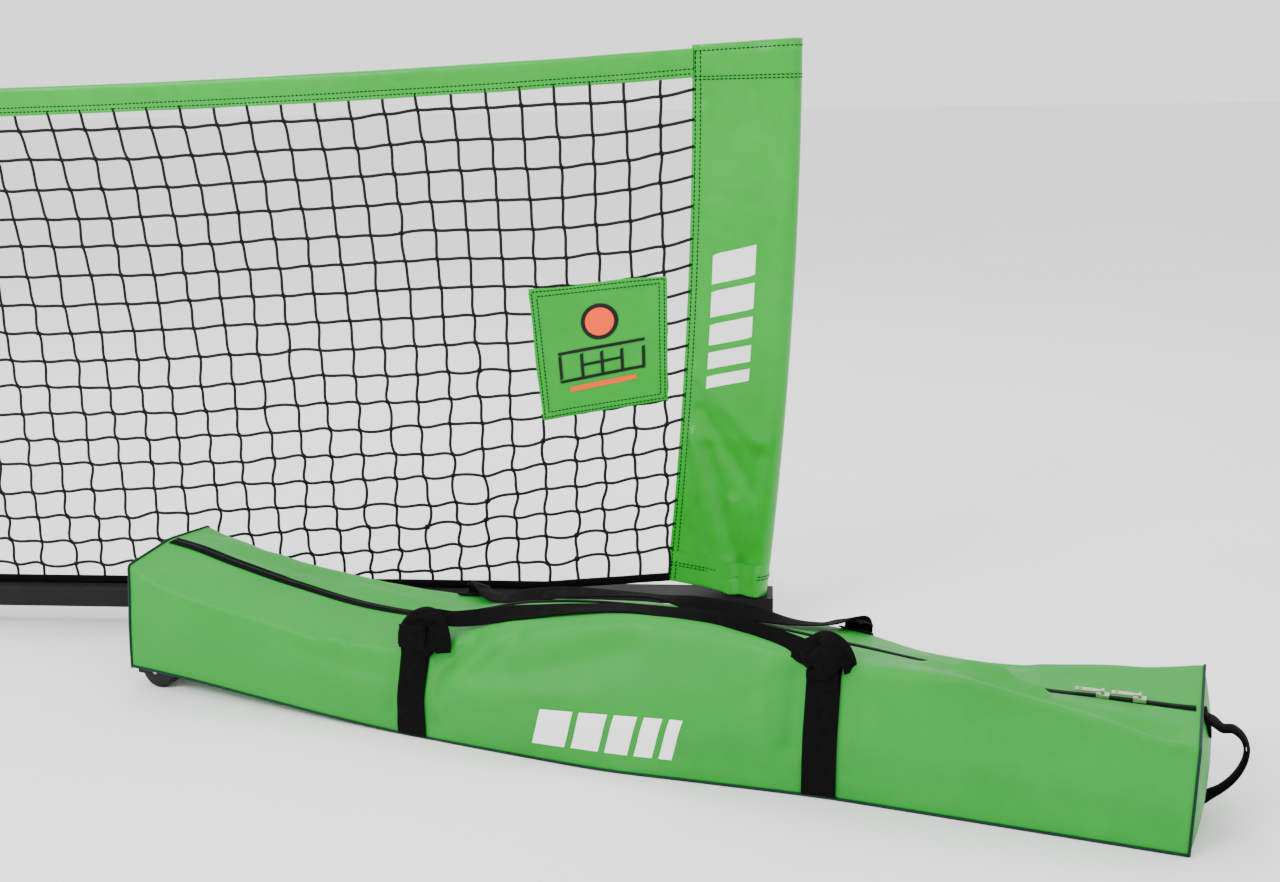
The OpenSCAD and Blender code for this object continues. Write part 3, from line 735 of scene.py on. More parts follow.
def sleeve_surface(side):
    """Returns the sleeve's grid (height, around), and its row and column coordinates."""
    nz, nf = 190, 46
    a_top, a_bot = math.asin(0.0062 / BEND_R), -math.asin((Z_TAN - 0.0735) / BEND_R)
    th = np.linspace(a_top, a_bot, nz)
    depth = (a_top - th) * BEND_R
    s = np.concatenate([np.linspace(0, 0.02, 9)[:-1], np.linspace(0.02, 0.1359, 27)[:-1]])
    r0 = 0.0203
    ctr = SLV_IN + 0.0
    half = np.interp(s, [0, 0.0125, 0.02, 0.1359], [0.0005, 0.0012, 0.0028, 0.0200])
    ang = np.linspace(math.radians(99.8), 0, 13)
    ss = np.concatenate([s, ctr + r0 * np.cos(ang)])
    yy = np.concatenate([half, r0 * np.sin(ang)])
    loop_s = np.concatenate([ss, ss[-2::-1]])
    loop_y = np.concatenate([-yy, yy[-2::-1]])
    nl = len(loop_s)
    S = np.broadcast_to(loop_s, (nz, nl)).copy()
    Y = np.broadcast_to(loop_y, (nz, nl)).copy()
    D = np.broadcast_to(depth[:, None], (nz, nl))
    front = (loop_y < 0)[None, :] * np.ones((nz, 1))
    sgn = np.where(loop_y < 0, -1.0, 1.0)[None, :]
    q2 = np.stack([S + (loop_y > 0)[None, :] * 3.0 + (5.0 if side < 0 else 0), D], -1)
    amp = sstep(S, 0.014, 0.05)
    w = 0.0013 * value_noise(q2 / np.array([0.5, 1.6]), 0.06, 31) + 0.0006 * value_noise(q2, 0.035, 33)
    w = w + 0.0009 * value_noise(q2 / np.array([0.35, 1.0]), 0.11, 35) * sstep(D, 0.35, 0.8) * 1.6
    # soft folds: (s, depth) from, to, half width, height
    folds = [((0.03, 0.075), (0.13, 0.155), 0.010, -0.0016), ((0.02, 0.10), (0.10, 0.20), 0.012, 0.0014),
             ((0.02, 0.50), (0.12, 0.60), 0.014, 0.0022), ((0.03, 0.56), (0.14, 0.70), 0.013, -0.0026),
             ((0.02, 0.60), (0.075, 0.80), 0.012, 0.0040), ((0.045, 0.62), (0.11, 0.80), 0.011, -0.0038),
             ((0.09, 0.70), (0.10, 0.84), 0.011, 0.0030), ((0.125, 0.62), (0.118, 0.84), 0.010, -0.0026),
             ((0.02, 0.28), (0.14, 0.33), 0.013, 0.0013), ((0.03, 0.22), (0.13, 0.24), 0.011, -0.0012)]
    for A, Bp, sig, hgt in folds:
        dist, _ = seg_dist(np.stack([S, D], -1), A, Bp)
        w = w + 1.7 * hgt * np.exp(-((dist / sig) ** 2)) * (front if side > 0 else 1)
    # pulled-in stitch rows, and the doubled top panel
    for c in (0.005, 0.013):
        w = w - 0.0005 * np.exp(-(((S - c) / 0.0012) ** 2))
    for c in (0.008, 0.049, 0.0555):
        w = w - 0.0007 * np.exp(-(((D - c) / 0.0014) ** 2))
    for c in (0.812, 0.8185):
        w = w - 0.0006 * np.exp(-(((D - c) / 0.0014) ** 2))
    w = w + 0.0011 * (1 - sstep(D, 0.0555, 0.0585)) * sstep(S, 0.001, 0.006)
    w = w + 0.0008 * sstep(D, 0.808, 0.811) * sstep(S, 0.001, 0.006)
    Y = Y + sgn * w * np.where(S < 0.014, 0.5, 1) * np.where(np.abs(loop_y)[None, :] < 1e-4, 0, 1)
    # cloth stays outside the post and its socket, and the two sheets outside each other
    keep = np.sqrt(np.maximum(0, 0.0190**2 - (S - SLV_IN) ** 2))
    Y = sgn * np.maximum(sgn * Y, np.maximum(keep, 0.0004 * (np.abs(loop_y)[None, :] > 1e-4)))
    # the open bottom flares over the bar
    fl = sstep(D, 0.775, 0.845)
    Y = Y * (1 + fl * 0.62 * sstep(S, 0.0, 0.09))
    Y = Y + sgn * fl * 0.0025 * np.sin(S * 62 + 0.6) * sstep(S, 0.02, 0.06)
    # top closes down towards a sewn edge
    close = 1 - sstep(D, 0.0, 0.016)
    Y = Y * (1 - 0.16 * close)
    R = LAP + S
    lift = np.interp(S, [0, SLV_IN], [-0.0075, 0.0]) * np.exp(-D / 0.05)
    X = ARC_X + R * np.cos(th)[:, None]
    Z = Z_TAN + R * np.sin(th)[:, None] + lift
    return np.stack([X * side, Y, Z], -1), loop_s, loop_y, depth


def sleeve(side):
    P, ls, ly, depth = sleeve_surface(side)
    nz, nl = P.shape[:2]
    B = Builder()
    arc = np.r_[0, np.cumsum(np.hypot(np.diff(ls), np.diff(ly)))]
    uv = np.stack(np.broadcast_arrays(depth[:, None], arc[None, :]), -1)
    B.grid(P, uvs=uv, flip=side < 0)
    # sewn top: rows that close the loop onto its middle line
    top = P[0]
    mid = top.copy()
    mid[:, 1] = 0
    rows = [top]
    for i, f in enumerate((0.85, 0.6, 0.3, 0.0)):
        r = mid + (top - mid) * np.array([1, f, 1])
        r[:, 2] = top[:, 2] + 0.0016 * (1 - f * f)
        rows.append(r)
    B.grid(np.array(rows), flip=side > 0)
    # turned-in hem at the open bottom, so the cloth has an inside
    inner = []
    ctr = np.array([[side * (ARC_X + (LAP + 0.09) * math.cos(-math.asin(0.836 / BEND_R))), 0, 0]])
    for i, (dz, f) in enumerate(((0, 1.0), (-0.0009, 0.97), (0.0004, 0.93), (0.02, 0.92), (0.05, 0.9))):
        r = P[-1].copy()
        r[:, 1] *= f
        r[:, 2] += dz
        if i > 1:
            r[:, 0] += (ctr[0, 0] - r[:, 0]) * 0.03
        inner.append(r)
    B.grid(np.array(inner), flip=side < 0)
    nm = "sleeve_right_cloth" if side > 0 else "sleeve_left_cloth"
    o = B.obj(nm, [M_VINYL])
    # merge the seams of the three grids
    import bmesh
    bm = bmesh.new()
    bm.from_mesh(o.data)
    bmesh.ops.remove_doubles(bm, verts=bm.verts, dist=0.00002)
    bmesh.ops.recalc_face_normals(bm, faces=bm.faces)
    bm.to_mesh(o.data)
    bm.free()
    for p in o.data.polygons:
        p.use_smooth = True
    S = Builder()
    G = P
    du = np.gradient(G, axis=0)
    dv = np.gradient(G, axis=1)
    N = unit(np.cross(dv, du)) * (1 if side > 0 else -1)
    if (N[nz // 2, nl // 4] * np.array([0, -1, 0])).sum() < 0:
        N = -N
    iS = lambda c, back: int(np.argmin(np.abs(ls - c) + (0 if not back else 0) + (np.sign(ly) != (1 if back else -1)) * 9))
    for back in (False, True):
        for c in (0.005, 0.013):
            i = iS(c, back)
            stitches(S, G[2:-1, i], N[2:-1, i], 0.0042, 0.0024)
    for c in (0.008, 0.049, 0.0555, 0.812, 0.8185):
        k = int(np.argmin(np.abs(depth - c)))
        stitches(S, G[k, 1:-1], N[k, 1:-1], 0.0042, 0.0024)
    so = S.obj("sleeve_right_stitching" if side > 0 else "sleeve_left_stitching", [M_THREAD])
    return o, so, G, N, ls, ly, depth


SLV, SHEETS = {}, []
for side in (1, -1):
    o, so, *SLV[side] = sleeve(side)
    body = "right_post" if side > 0 else "left_post"
    for q in (o, so):
        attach(q, body)
    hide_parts("sleeve_right" if side > 0 else "sleeve_left")
    SHEETS.append((o, so, side))


def decal(B, G, N, u, v, poly, mi=0, lift=0.0005, step=0.004, thick=0.0):
    """A printed shape: the polygon (in the grid's own u, v coordinates) laid just above the surface."""
    poly = np.asarray(poly, float)
    lo, hi = poly.min(0), poly.max(0)
    # clip the polygon to a strip grid: rows along v, spans along u (convex shapes)
    nv = max(2, int(math.ceil((hi[1] - lo[1]) / step)) + 1)
    vs = np.linspace(lo[1] + 1e-6, hi[1] - 1e-6, nv)
    left, right = [], []
    for y in vs:
        xs = []
        for a, b in zip(poly, np.roll(poly, -1, 0)):
            if (a[1] - y) * (b[1] - y) <= 0 and abs(a[1] - b[1]) > 1e-9:
                xs.append(a[0] + (b[0] - a[0]) * (y - a[1]) / (b[1] - a[1]))
        left.append(min(xs))
        right.append(max(xs))
    nu = max(2, int(math.ceil((max(right) - min(left)) / step)) + 1)
    k = np.linspace(0, 1, nu)
    U = np.array(left)[:, None] * (1 - k) + np.array(right)[:, None] * k
    V = np.broadcast_to(vs[:, None], U.shape)
    Q = surf_at(G, u, v, U, V) + surf_at(N, u, v, U, V) * lift
    B.grid(Q, mi=mi)


def surf_at(G, u, v, U, V):
    """Bilinear lookup in grid G whose rows are at v and columns at u (both rising)."""
    iu = np.clip(np.searchsorted(u, U, "right") - 1, 0, len(u) - 2)
    iv = np.clip(np.searchsorted(v, V, "right") - 1, 0, len(v) - 2)
    fu = np.clip((U - u[iu]) / (u[iu + 1] - u[iu]), 0, 1)[..., None]
    fv = np.clip((V - v[iv]) / (v[iv + 1] - v[iv]), 0, 1)[..., None]
    return ((G[iv, iu] * (1 - fu) + G[iv, iu + 1] * fu) * (1 - fv) + (G[iv + 1, iu] * (1 - fu) + G[iv + 1, iu + 1] * fu) * fv)


# generic white bars down the front of each sleeve
for side in (1, -1):
    G, N, ls, ly, depth = SLV[side]
    nf = int(np.argmax(ls))
    B = Builder()
    for i, (d0, h) in enumerate(((0.296, 0.046), (0.353, 0.040), (0.404, 0.033), (0.448, 0.026), (0.485, 0.019))):
        decal(B, G[:, : nf + 1], N[:, : nf + 1], ls[: nf + 1], depth,
              [(0.036, d0 + 0.018), (0.100, d0), (0.100, d0 + h), (0.036, d0 + h + 0.018)])
    o = B.obj("sleeve_right_print" if side > 0 else "sleeve_left_print", [M_WHITE])
    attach(o, "right_post" if side > 0 else "left_post")


# ------------------------------------------------------------------ patch
def patch():
    c = np.array([[2.370, 0.554], [2.583, 0.576], [2.582, 0.383], [2.387, 0.350]])
    n = 74
    u = np.linspace(0, 1, n)
    U, V = np.meshgrid(u, u)
    XZ = (c[0] * ((1 - U) * (1 - V))[..., None] + c[1] * (U * (1 - V))[..., None] + c[2] * (U * V)[..., None] + c[3] * ((1 - U) * V)[..., None])
    q = np.stack([U, V], -1)
    y = -0.0052 - 0.0016 * value_noise(q, 0.33, 51) - 0.0006 * value_noise(q, 0.12, 52)
    y = y - 0.004 * np.exp(-((U - 0.0) ** 2 + (V - 1.0) ** 2) / 0.03) - 0.002 * np.exp(-((U - 1.0) ** 2 + (V - 0.0) ** 2) / 0.02)
    e = np.minimum(np.minimum(U, 1 - U), np.minimum(V, 1 - V))
    y = y - 0.0008 * (1 - sstep(e, 0.062, 0.072))
    for s in (0.022, 0.058):
        y = y + 0.0005 * np.exp(-(((e - s) / 0.006) ** 2))
    edge = 0.0016 * np.sin(9 * U + 2) * (V < 0.02) + 0.0014 * np.sin(8 * V) * (U < 0.02)
    F = np.stack([XZ[..., 0] + edge * 0.6, y, XZ[..., 1] + edge], -1)
    Bk = F + np.array([0, 0.0013, 0])
    G = Builder()
    G.grid(F, uvs=q)
    G.grid(Bk, uvs=q, flip=True)
    per = [(0, i) for i in range(n)] + [(i, n - 1) for i in range(1, n)] + [(n - 1, i) for i in range(n - 2, -1, -1)] + [(i, 0) for i in range(n - 2, 0, -1)]
    ring = np.array([[F[i, j] for i, j in per], [Bk[i, j] for i, j in per]])
    G.grid(ring, close_v=True, flip=True)
    o = G.obj("court_patch", [M_PATCH])
    import bmesh
    bm = bmesh.new()
    bm.from_mesh(o.data)
    bmesh.ops.remove_doubles(bm, verts=bm.verts, dist=0.00002)
    bmesh.ops.recalc_face_normals(bm, faces=bm.faces)
    bm.to_mesh(o.data)
    bm.free()
    for p in o.data.polygons:
        p.use_smooth = True
    N = unit(np.cross(np.gradient(F, axis=1), np.gradient(F, axis=0)))
    if N[n // 2, n // 2, 1] > 0:
        N = -N
    S = Builder()
    for s in (0.022, 0.058):
        ts = np.linspace(s, 1 - s, 60)
        loop = [(t, s) for t in ts] + [(1 - s, t) for t in ts[1:]] + [(t, 1 - s) for t in ts[::-1][1:]] + [(s, t) for t in ts[::-1][1:]]
        L = np.array(loop)
        stitches(S, surf_at(F, u, u, L[:, 0], L[:, 1]), surf_at(N, u, u, L[:, 0], L[:, 1]), 0.0038, 0.0022)
    so = S.obj("patch_stitching", [M_THREAD])
    # printed motif: a court plan in black with an orange ball over it and an orange bar below
    D = Builder()

    def box(x0, y0, x1, y1, mi, sk=0.05):
        decal(D, F, N, u, u, [(x0, y0), (x1, y0 - sk * (x1 - x0)), (x1, y1 - sk * (x1 - x0)), (x0, y1)], mi, 0.0009, 0.012)

    for q in ((0.17, 0.50, 0.83, 0.525), (0.17, 0.715, 0.83, 0.74)):
        box(*q, 0)
    for x in (0.17, 0.335, 0.488, 0.640, 0.805):
        box(x, 0.525, x + 0.025, 0.715, 0)
    box(0.335, 0.607, 0.64, 0.63, 0)
    box(0.24, 0.775, 0.76, 0.815, 1)
    for rr, mi, lift in ((0.140, 0, 0.0008), (0.108, 1, 0.0013)):
        a = np.linspace(0, 2 * math.pi, 33)[:-1]
        cx, cy = 0.50, 0.30
        rad = np.linspace(0, 1, 6)
        U2 = cx + rr * rad[:, None] * np.cos(a)[None]
        V2 = cy + rr * rad[:, None] * np.sin(a)[None]
        D.grid(surf_at(F, u, u, U2, V2) + surf_at(N, u, u, U2, V2) * lift, close_v=True, mi=mi)
    po = D.obj("patch_print", [M_INK, M_ORANGE])
    return o, so, po


o, so, po = patch()
for q in (o, so, po):
    blend_end(q)
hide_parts("net_patch")

# ------------------------------------------------------------------ bag
BO = np.array([1.8092, -0.2558, 0.032])
BYAW, BTILT = math.radians(-16.085), math.radians(1.2546)
BL, BW = 1.461, 0.1905
Rz = np.array([[math.cos(BYAW), -math.sin(BYAW), 0], [math.sin(BYAW), math.cos(BYAW), 0], [0, 0, 1]])
Ry = np.array([[math.cos(BTILT), 0, math.sin(BTILT)], [0, 1, 0], [-math.sin(BTILT), 0, math.cos(BTILT)]])
RB = Rz @ Ry


def bag(P):
    return BO + np.asarray(P, float) @ RB.T


def bagv(N):
    return np.asarray(N, float) @ RB.T


# stations along the bag: bottom-front, front, top-front, zip, top-back, back, bottom-back, as (across, up)
ST = [
    (0.000, (0.000, 0.000), (-0.001, 0.080), (0.001, 0.159), (0.095, 0.170), (0.1900, 0.162), (0.1915, 0.080), (0.1905, 0.000)),
    (0.050, (0.000, -0.002), (-0.003, 0.075), (0.003, 0.140), (0.095, 0.164), (0.1895, 0.150), (0.1930, 0.075), (0.1905, -0.001)),
    (0.110, (-0.001, -0.005), (-0.005, 0.068), (0.004, 0.126), (0.095, 0.151), (0.1895, 0.138), (0.1950, 0.070), (0.1905, -0.003)),
    (0.224, (-0.004, -0.012), (-0.008, 0.055), (0.006, 0.112), (0.095, 0.129), (0.1890, 0.124), (0.1940, 0.060), (0.1900, -0.008)),
    (0.350, (-0.009, -0.018), (-0.013, 0.042), (0.004, 0.099), (0.095, 0.113), (0.1885, 0.116), (0.1940, 0.050), (0.1900, -0.014)),
    (0.468, (-0.012, -0.0212), (-0.014, 0.038), (0.006, 0.102), (0.095, 0.117), (0.1860, 0.118), (0.1920, 0.045), (0.1880, -0.018)),
    (0.600, (-0.018, -0.0183), (-0.027, 0.050), (0.008, 0.144), (0.090, 0.157), (0.1840, 0.128), (0.1960, 0.050), (0.1900, -0.0170)),
    (0.750, (-0.022, -0.0150), (-0.031, 0.062), (0.016, 0.182), (0.092, 0.172), (0.1850, 0.144), (0.1980, 0.060), (0.1900, -0.0145)),
    (0.870, (-0.013, -0.0124), (-0.025, 0.070), (0.018, 0.187), (0.094, 0.171), (0.1860, 0.148), (0.1970, 0.062), (0.1905, -0.0120)),
    (1.031, (-0.001, -0.0088), (-0.006, 0.072), (0.008, 0.170), (0.095, 0.160), (0.1890, 0.142), (0.1930, 0.060), (0.1905, -0.0085)),
    (1.120, (0.000, -0.0068), (-0.006, 0.074), (0.012, 0.172), (0.095, 0.152), (0.1895, 0.127), (0.1940, 0.060), (0.1905, -0.0065)),
    (1.207, (0.000, -0.0050), (-0.005, 0.076), (0.016, 0.171), (0.095, 0.142), (0.1895, 0.127), (0.1940, 0.060), (0.1905, -0.0048)),
    (1.275, (0.000, -0.0036), (-0.004, 0.076), (0.018, 0.161), (0.095, 0.1335), (0.1895, 0.136), (0.1935, 0.065), (0.1905, -0.0034)),
    (1.350, (0.000, -0.0020), (-0.003, 0.074), (0.016, 0.149), (0.095, 0.1365), (0.1895, 0.147), (0.1930, 0.070), (0.1905, -0.0018)),
    (1.400, (0.000, -0.0009), (-0.002, 0.072), (0.013, 0.137), (0.095, 0.1386), (0.1900, 0.150), (0.1925, 0.075), (0.1905, -0.0008)),
    (1.461, (0.000, 0.0006), (-0.001, 0.068), (0.008, 0.128), (0.095, 0.1410), (0.1900, 0.161), (0.1915, 0.080), (0.1905, 0.0006)),
]
EDGE_N = (17, 17, 19, 19, 16, 16)
N1 = sum(EDGE_N) + 1
I_TF, I_Z, I_TB = 34, 53, 72
BAG_FOLDS = [  # (from, to, half width, height) in bag coordinates
    ((0.00, 0.0, 0.140), (0.33, -0.010, 0.090), 0.011, 0.0038), ((0.06, 0.010, 0.138), (0.31, 0.010, 0.112), 0.012, -0.0034),
    ((0.33, -0.010, 0.088), (0.26, 0.020, 0.118), 0.009, -0.0026), ((0.33, -0.010, 0.090), (0.43, 0.000, 0.104), 0.008, 0.0024),
    ((0.30, -0.010, 0.075), (0.42, -0.012, 0.060), 0.016, -0.0026), ((0.345, -0.010, 0.085), (0.38, 0.030, 0.112), 0.007, -0.0024),
    ((0.05, -0.004, 0.060), (0.20, -0.008, 0.030), 0.03, -0.0018), ((0.16, 0.06, 0.14), (0.34, 0.045, 0.112), 0.012, 0.0020),
    ((0.505, -0.010, 0.085), (0.55, 0.010, 0.122), 0.012, -0.0058), ((0.53, -0.014, 0.070), (0.60, 0.000, 0.128), 0.012, 0.0030),
    ((0.56, -0.018, 0.085), (0.62, 0.010, 0.140), 0.010, -0.0032), ((0.51, -0.016, 0.030), (0.56, -0.022, 0.060), 0.014, 0.0020),
    ((0.52, -0.020, 0.055), (0.72, -0.030, 0.085), 0.022, 0.0026), ((0.62, -0.024, 0.095), (0.78, 0.000, 0.150), 0.018, -0.0026),
    ((0.66, -0.030, 0.060), (0.90, -0.024, 0.120), 0.03, 0.0016), ((0.72, -0.02, 0.02), (0.95, -0.01, 0.03), 0.02, -0.0018),
    ((0.995, -0.008, 0.055), (0.998, -0.002, 0.155), 0.013, -0.0060), ((0.960, -0.012, 0.030), (0.957, -0.006, 0.150), 0.012, 0.0026),
    ((0.93, -0.016, 0.11), (0.99, -0.006, 0.145), 0.012, -0.0026), ((1.068, -0.004, 0.03), (1.066, 0.0, 0.15), 0.010, -0.0028),
    ((0.437, -0.012, 0.01), (0.438, -0.006, 0.095), 0.009, -0.0034), ((0.503, -0.014, 0.0), (0.503, -0.012, 0.07), 0.010, -0.0030),
    ((1.19, 0.014, 0.168), (1.455, 0.006, 0.128), 0.0065, 0.0050), ((1.22, 0.040, 0.155), (1.44, 0.034, 0.130), 0.013, -0.0050),
    ((1.150, 0.080, 0.150), (1.230, 0.074, 0.142), 0.013, 0.0080), ((1.195, 0.074, 0.148), (1.275, 0.064, 0.142), 0.013, 0.0080),
    ((1.16, 0.000, 0.150), (1.42, 0.000, 0.105), 0.016, -0.0018), ((1.10, -0.004, 0.09), (1.33, -0.004, 0.055), 0.03, 0.0018),
    ((1.22, -0.002, 0.04), (1.44, 0.0, 0.03), 0.02, -0.0014), ((1.15, 0.14, 0.135), (1.25, 0.17, 0.125), 0.014, -0.0030),
    ((1.12, 0.12, 0.145), (1.22, 0.14, 0.138), 0.012, 0.0026), ((0.10, 0.13, 0.148), (0.26, 0.15, 0.126), 0.014, -0.0022),
    ((0.03, 0.15, 0.158), (0.14, 0.17, 0.140), 0.012, 0.0018), ((0.30, 0.14, 0.116), (0.44, 0.13, 0.112), 0.012, 0.0022),
    ((0.55, 0.196, 0.06), (0.75, 0.198, 0.09), 0.02, -0.003), ((0.85, 0.197, 0.05), (0.98, 0.194, 0.10), 0.018, 0.003),
    ((1.0, 0.193, 0.03), (1.0, 0.19, 0.11), 0.010, -0.004), ((0.44, 0.192, 0.02), (0.44, 0.19, 0.10), 0.010, -0.004),
    ((0.50, 0.192, 0.02), (0.50, 0.19, 0.10), 0.010, -0.003), ((1.07, 0.193, 0.03), (1.07, 0.19, 0.11), 0.010, -0.003),
]


def bag_sections(ls, detail=True):
    """Outer surface of the bag from the bottom-front edge over the top to the bottom-back edge: (len, N1, 3)."""
    xs = [s[0] for s in ST]
    C = herm(xs, [[c for p in s[1:] for c in p] for s in ST], ls).reshape(len(ls), 7, 2)
    parts = []
    for e, n in enumerate(EDGE_N):
        t = np.linspace(0, 1, n, endpoint=False)[None, :, None]
        parts.append(C[:, e, None] * (1 - t) + C[:, e + 1, None] * t)
    P = np.concatenate(parts + [C[:, 6:7]], 1)

    def blur(P, sig):
        k = int(4 * sig) + 1
        o = np.arange(-k, k + 1)
        w = np.exp(-(o**2) / (2 * sig**2))
        w /= w.sum()
        pad = np.concatenate([2 * P[:, :1] - P[:, k:0:-1], P, 2 * P[:, -1:] - P[:, -2 : -k - 2 : -1]], 1)
        return sum(w[i] * pad[:, i : i + P.shape[1]] for i in range(2 * k + 1))

    soft, crisp = blur(P, 2.3), blur(P, 0.9)
    e = np.minimum(ls, BL - ls)
    wgt = sstep(e, 0.0, 0.13)[:, None, None]
    P = soft * wgt + crisp * (1 - wgt)
    Q = np.zeros((len(ls), N1, 3))
    Q[..., 0] = ls[:, None]
    Q[..., 1:] = P
    # the left end stands square to the floor, so its foot reaches a little further out
    Q[..., 0] -= 0.0085 * (1 - sstep(Q[..., 2], -0.01, 0.16)) * (1 - sstep(ls, 0, 0.12))[:, None]
    if detail:
        N = unit(np.cross(np.gradient(Q, axis=0), np.gradient(Q, axis=1)))
        if N[len(ls) // 2, 20, 1] > 0:
            N = -N
        d = np.zeros(Q.shape[:2])
        for A, Bp, sig, hgt in BAG_FOLDS:
            dist, _ = seg_dist(Q, A, Bp)
            d += 1.45 * hgt * np.exp(-((dist / sig) ** 2))
        d += 0.0012 * value_noise(Q, 0.085, 61) + 0.0006 * value_noise(Q, 0.035, 62)
        # lips beside the zip
        i = np.arange(N1)
        zd = (np.abs(i - I_Z))[None, :] * 0.0052
        d += 0.0012 * np.exp(-(((zd - 0.011) / 0.004) ** 2)) - 0.0012 * np.exp(-((zd / 0.005) ** 2))
        ends = sstep(np.minimum(i, N1 - 1 - i), 0, 7)[None, :] * sstep(e, 0.0, 0.03)[:, None]
        near_z = 1 - 0.75 * np.exp(-((zd / 0.02) ** 2))
        Q = Q + N * (d * ends * near_z)[..., None]
    return Q


def floor_clear(P, gap=0.0007):
    """Keeps world points above the floor."""
    P = P.copy()
    P[..., 2] = np.maximum(P[..., 2], gap)
    return P


LS = np.unique(np.concatenate([np.linspace(0, BL, 236), [0.002, 0.004, BL - 0.002, BL - 0.004]]))
QB = bag_sections(LS)


def bag_shell():
    B = Builder()
    Q = QB
    nb = 30
    t = np.linspace(0, 1, nb + 2)[1:-1][None, :, None]
    bot = Q[:, -1:] * (1 - t) + Q[:, :1] * t
    lump = value_noise(bot[..., :2], 0.09, 63) * 0.0010 - 0.0008
    bot[..., 2] += lump * np.sin(math.pi * t[..., 0])
    loop = np.concatenate([Q, bot], 1)
    arc = np.arange(loop.shape[1]) * 0.0053
    uv = np.stack(np.broadcast_arrays(LS[:, None], arc[None, :]), -1)
    B.grid(floor_clear(bag(loop)), close_v=True, uvs=uv)
    # end panels, bulging a little
    for k, sg, bul in ((0, -1, 0.006), (-1, 1, 0.015)):
        ring = loop[k]
        ctr = np.array([ring[0, 0], 0.095, 0.078 if k == 0 else 0.072])
        rows = []
        for f in np.linspace(1, 0.02, 22):
            r = ctr + (ring - ctr) * f
            bulge = bul * (1 - f**2.2) + 0.0010 * value_noise(r[:, 1:] , 0.05, 65 + k) * (1 - f)
            r[:, 0] = ring[:, 0] * f + ring[:, 0].mean() * (1 - f) + sg * bulge
            rows.append(r)
        B.grid(floor_clear(bag(np.array(rows))), close_v=True, flip=k == 0)
        kk = B.n
        m = ring.shape[0]
        B.f.append([kk - m + i for i in range(m)])
        B.mi.append(0)
    o = B.obj("bag_shell", [M_BAG])
    import bmesh
    bm = bmesh.new()
    bm.from_mesh(o.data)
    bmesh.ops.remove_doubles(bm, verts=bm.verts, dist=0.00002)
    bmesh.ops.recalc_face_normals(bm, faces=bm.faces)
    bm.to_mesh(o.data)
    bm.free()
    for p in o.data.polygons:
        p.use_smooth = True
    return o, loop


o, LOOP = bag_shell()
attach(o, "bag")
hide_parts("bag_bottom", "bag_front", "bag_back", "bag_end_left", "bag_end_right", "bag_top_front", "bag_top_back")

# piping along the bottom edges and round both end panels
B = Builder()
for i in (0, N1 - 1):
    s = -1 if i == 0 else 1
    P = QB[:, i] + np.array([0, s * 0.0010, 0.0012])
    tube(B, floor_clear(bag(resample(P, 240)), 0.0018), 0.0017, 8)
for k, sg in ((0, -1), (-1, 1)):
    ring = LOOP[k].copy()
    ctr = ring.mean(0)
    d = unit(ring - ctr)
    P = ring + d * 0.0010 + np.array([sg * 0.0008, 0, 0])
    P = resample(np.concatenate([P, P[:1]]), 260)
    tube(B, floor_clear(bag(P), 0.0018), 0.0017, 8, ref=bagv((1, 0, 0)))
o = B.obj("bag_piping", [M_PIPE])
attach(o, "bag")

# bag surface lookup: columns by path index
UI = np.arange(N1, dtype=float)
NB_ = unit(np.cross(np.gradient(QB, axis=0), np.gradient(QB, axis=1)))
if NB_[118, 20, 1] > 0:
    NB_ = -NB_


def on_bag(l, i):
    return surf_at(QB, UI, LS, np.asarray(i, float), np.asarray(l, float))


def bag_n(l, i):
    return unit(surf_at(NB_, UI, LS, np.asarray(i, float), np.asarray(l, float)))


def top_h(l, w):
    """Height of the bag's top at (l, w)."""
    out = []
    for a, b in zip(np.atleast_1d(l), np.atleast_1d(w)):
        row = on_bag(np.full(N1, a), UI)[20:86]
        k = np.argsort(row[:, 1])
        out.append(np.interp(b, row[k, 1], row[k, 2]))
    return np.array(out)


# zip: tape and two rows of teeth
def zip_line(n):
    l = np.linspace(0.006, BL - 0.006, n)
    return l, on_bag(l, np.full(n, float(I_Z))), bag_n(l, np.full(n, float(I_Z)))


B = Builder()
l, P, N = zip_line(420)
N = unit(N * np.array([1, 0.3, 1]))
ribbon(B, bag(P + N * 0.0004), bagv(N), np.interp(l, [0, 0.45, 0.55, 1.0, 1.3, 1.461], [0.023, 0.022, 0.016, 0.012, 0.015, 0.014]), 0.0009, 6)
o = B.obj("zip_tape", [M_TAPE])
B = Builder()
l, P, N = zip_line(1500)
T = unit(np.gradient(P, axis=0))
N = unit(N * np.array([1, 0.3, 1]))
S = np.cross(T, N)
cen = np.arange(2, 1498, 1.62)
for sgn in (1, -1):
    k = (cen + (0.81 if sgn > 0 else 0)).astype(int)
    p, t, nn, s = P[k] + N[k] * 0.0012, T[k] * 0.00052, N[k] * 0.0008, S[k]
    a, b = s * sgn * 0.0024, s * sgn * -0.0006
    V = np.stack([p - t + a - nn, p + t + a - nn, p + t + b - nn, p - t + b - nn, p - t + a * 0.9 + nn * 0.7, p + t + a * 0.9 + nn * 0.7, p + t + b + nn, p - t + b + nn], 1)
    F = [(0, 3, 2, 1), (4, 5, 6, 7), (0, 1, 5, 4), (1, 2, 6, 5), (2, 3, 7, 6), (3, 0, 4, 7)]
    B.add(bag(V.reshape(-1, 3)), [[i * 8 + c for c in f] for i in range(len(k)) for f in F])
o2 = B.obj("zip_teeth", [M_PLASTIC], smooth=False)
for q in (o, o2):
    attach(q, "bag")
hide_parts("bag_zip_chain")

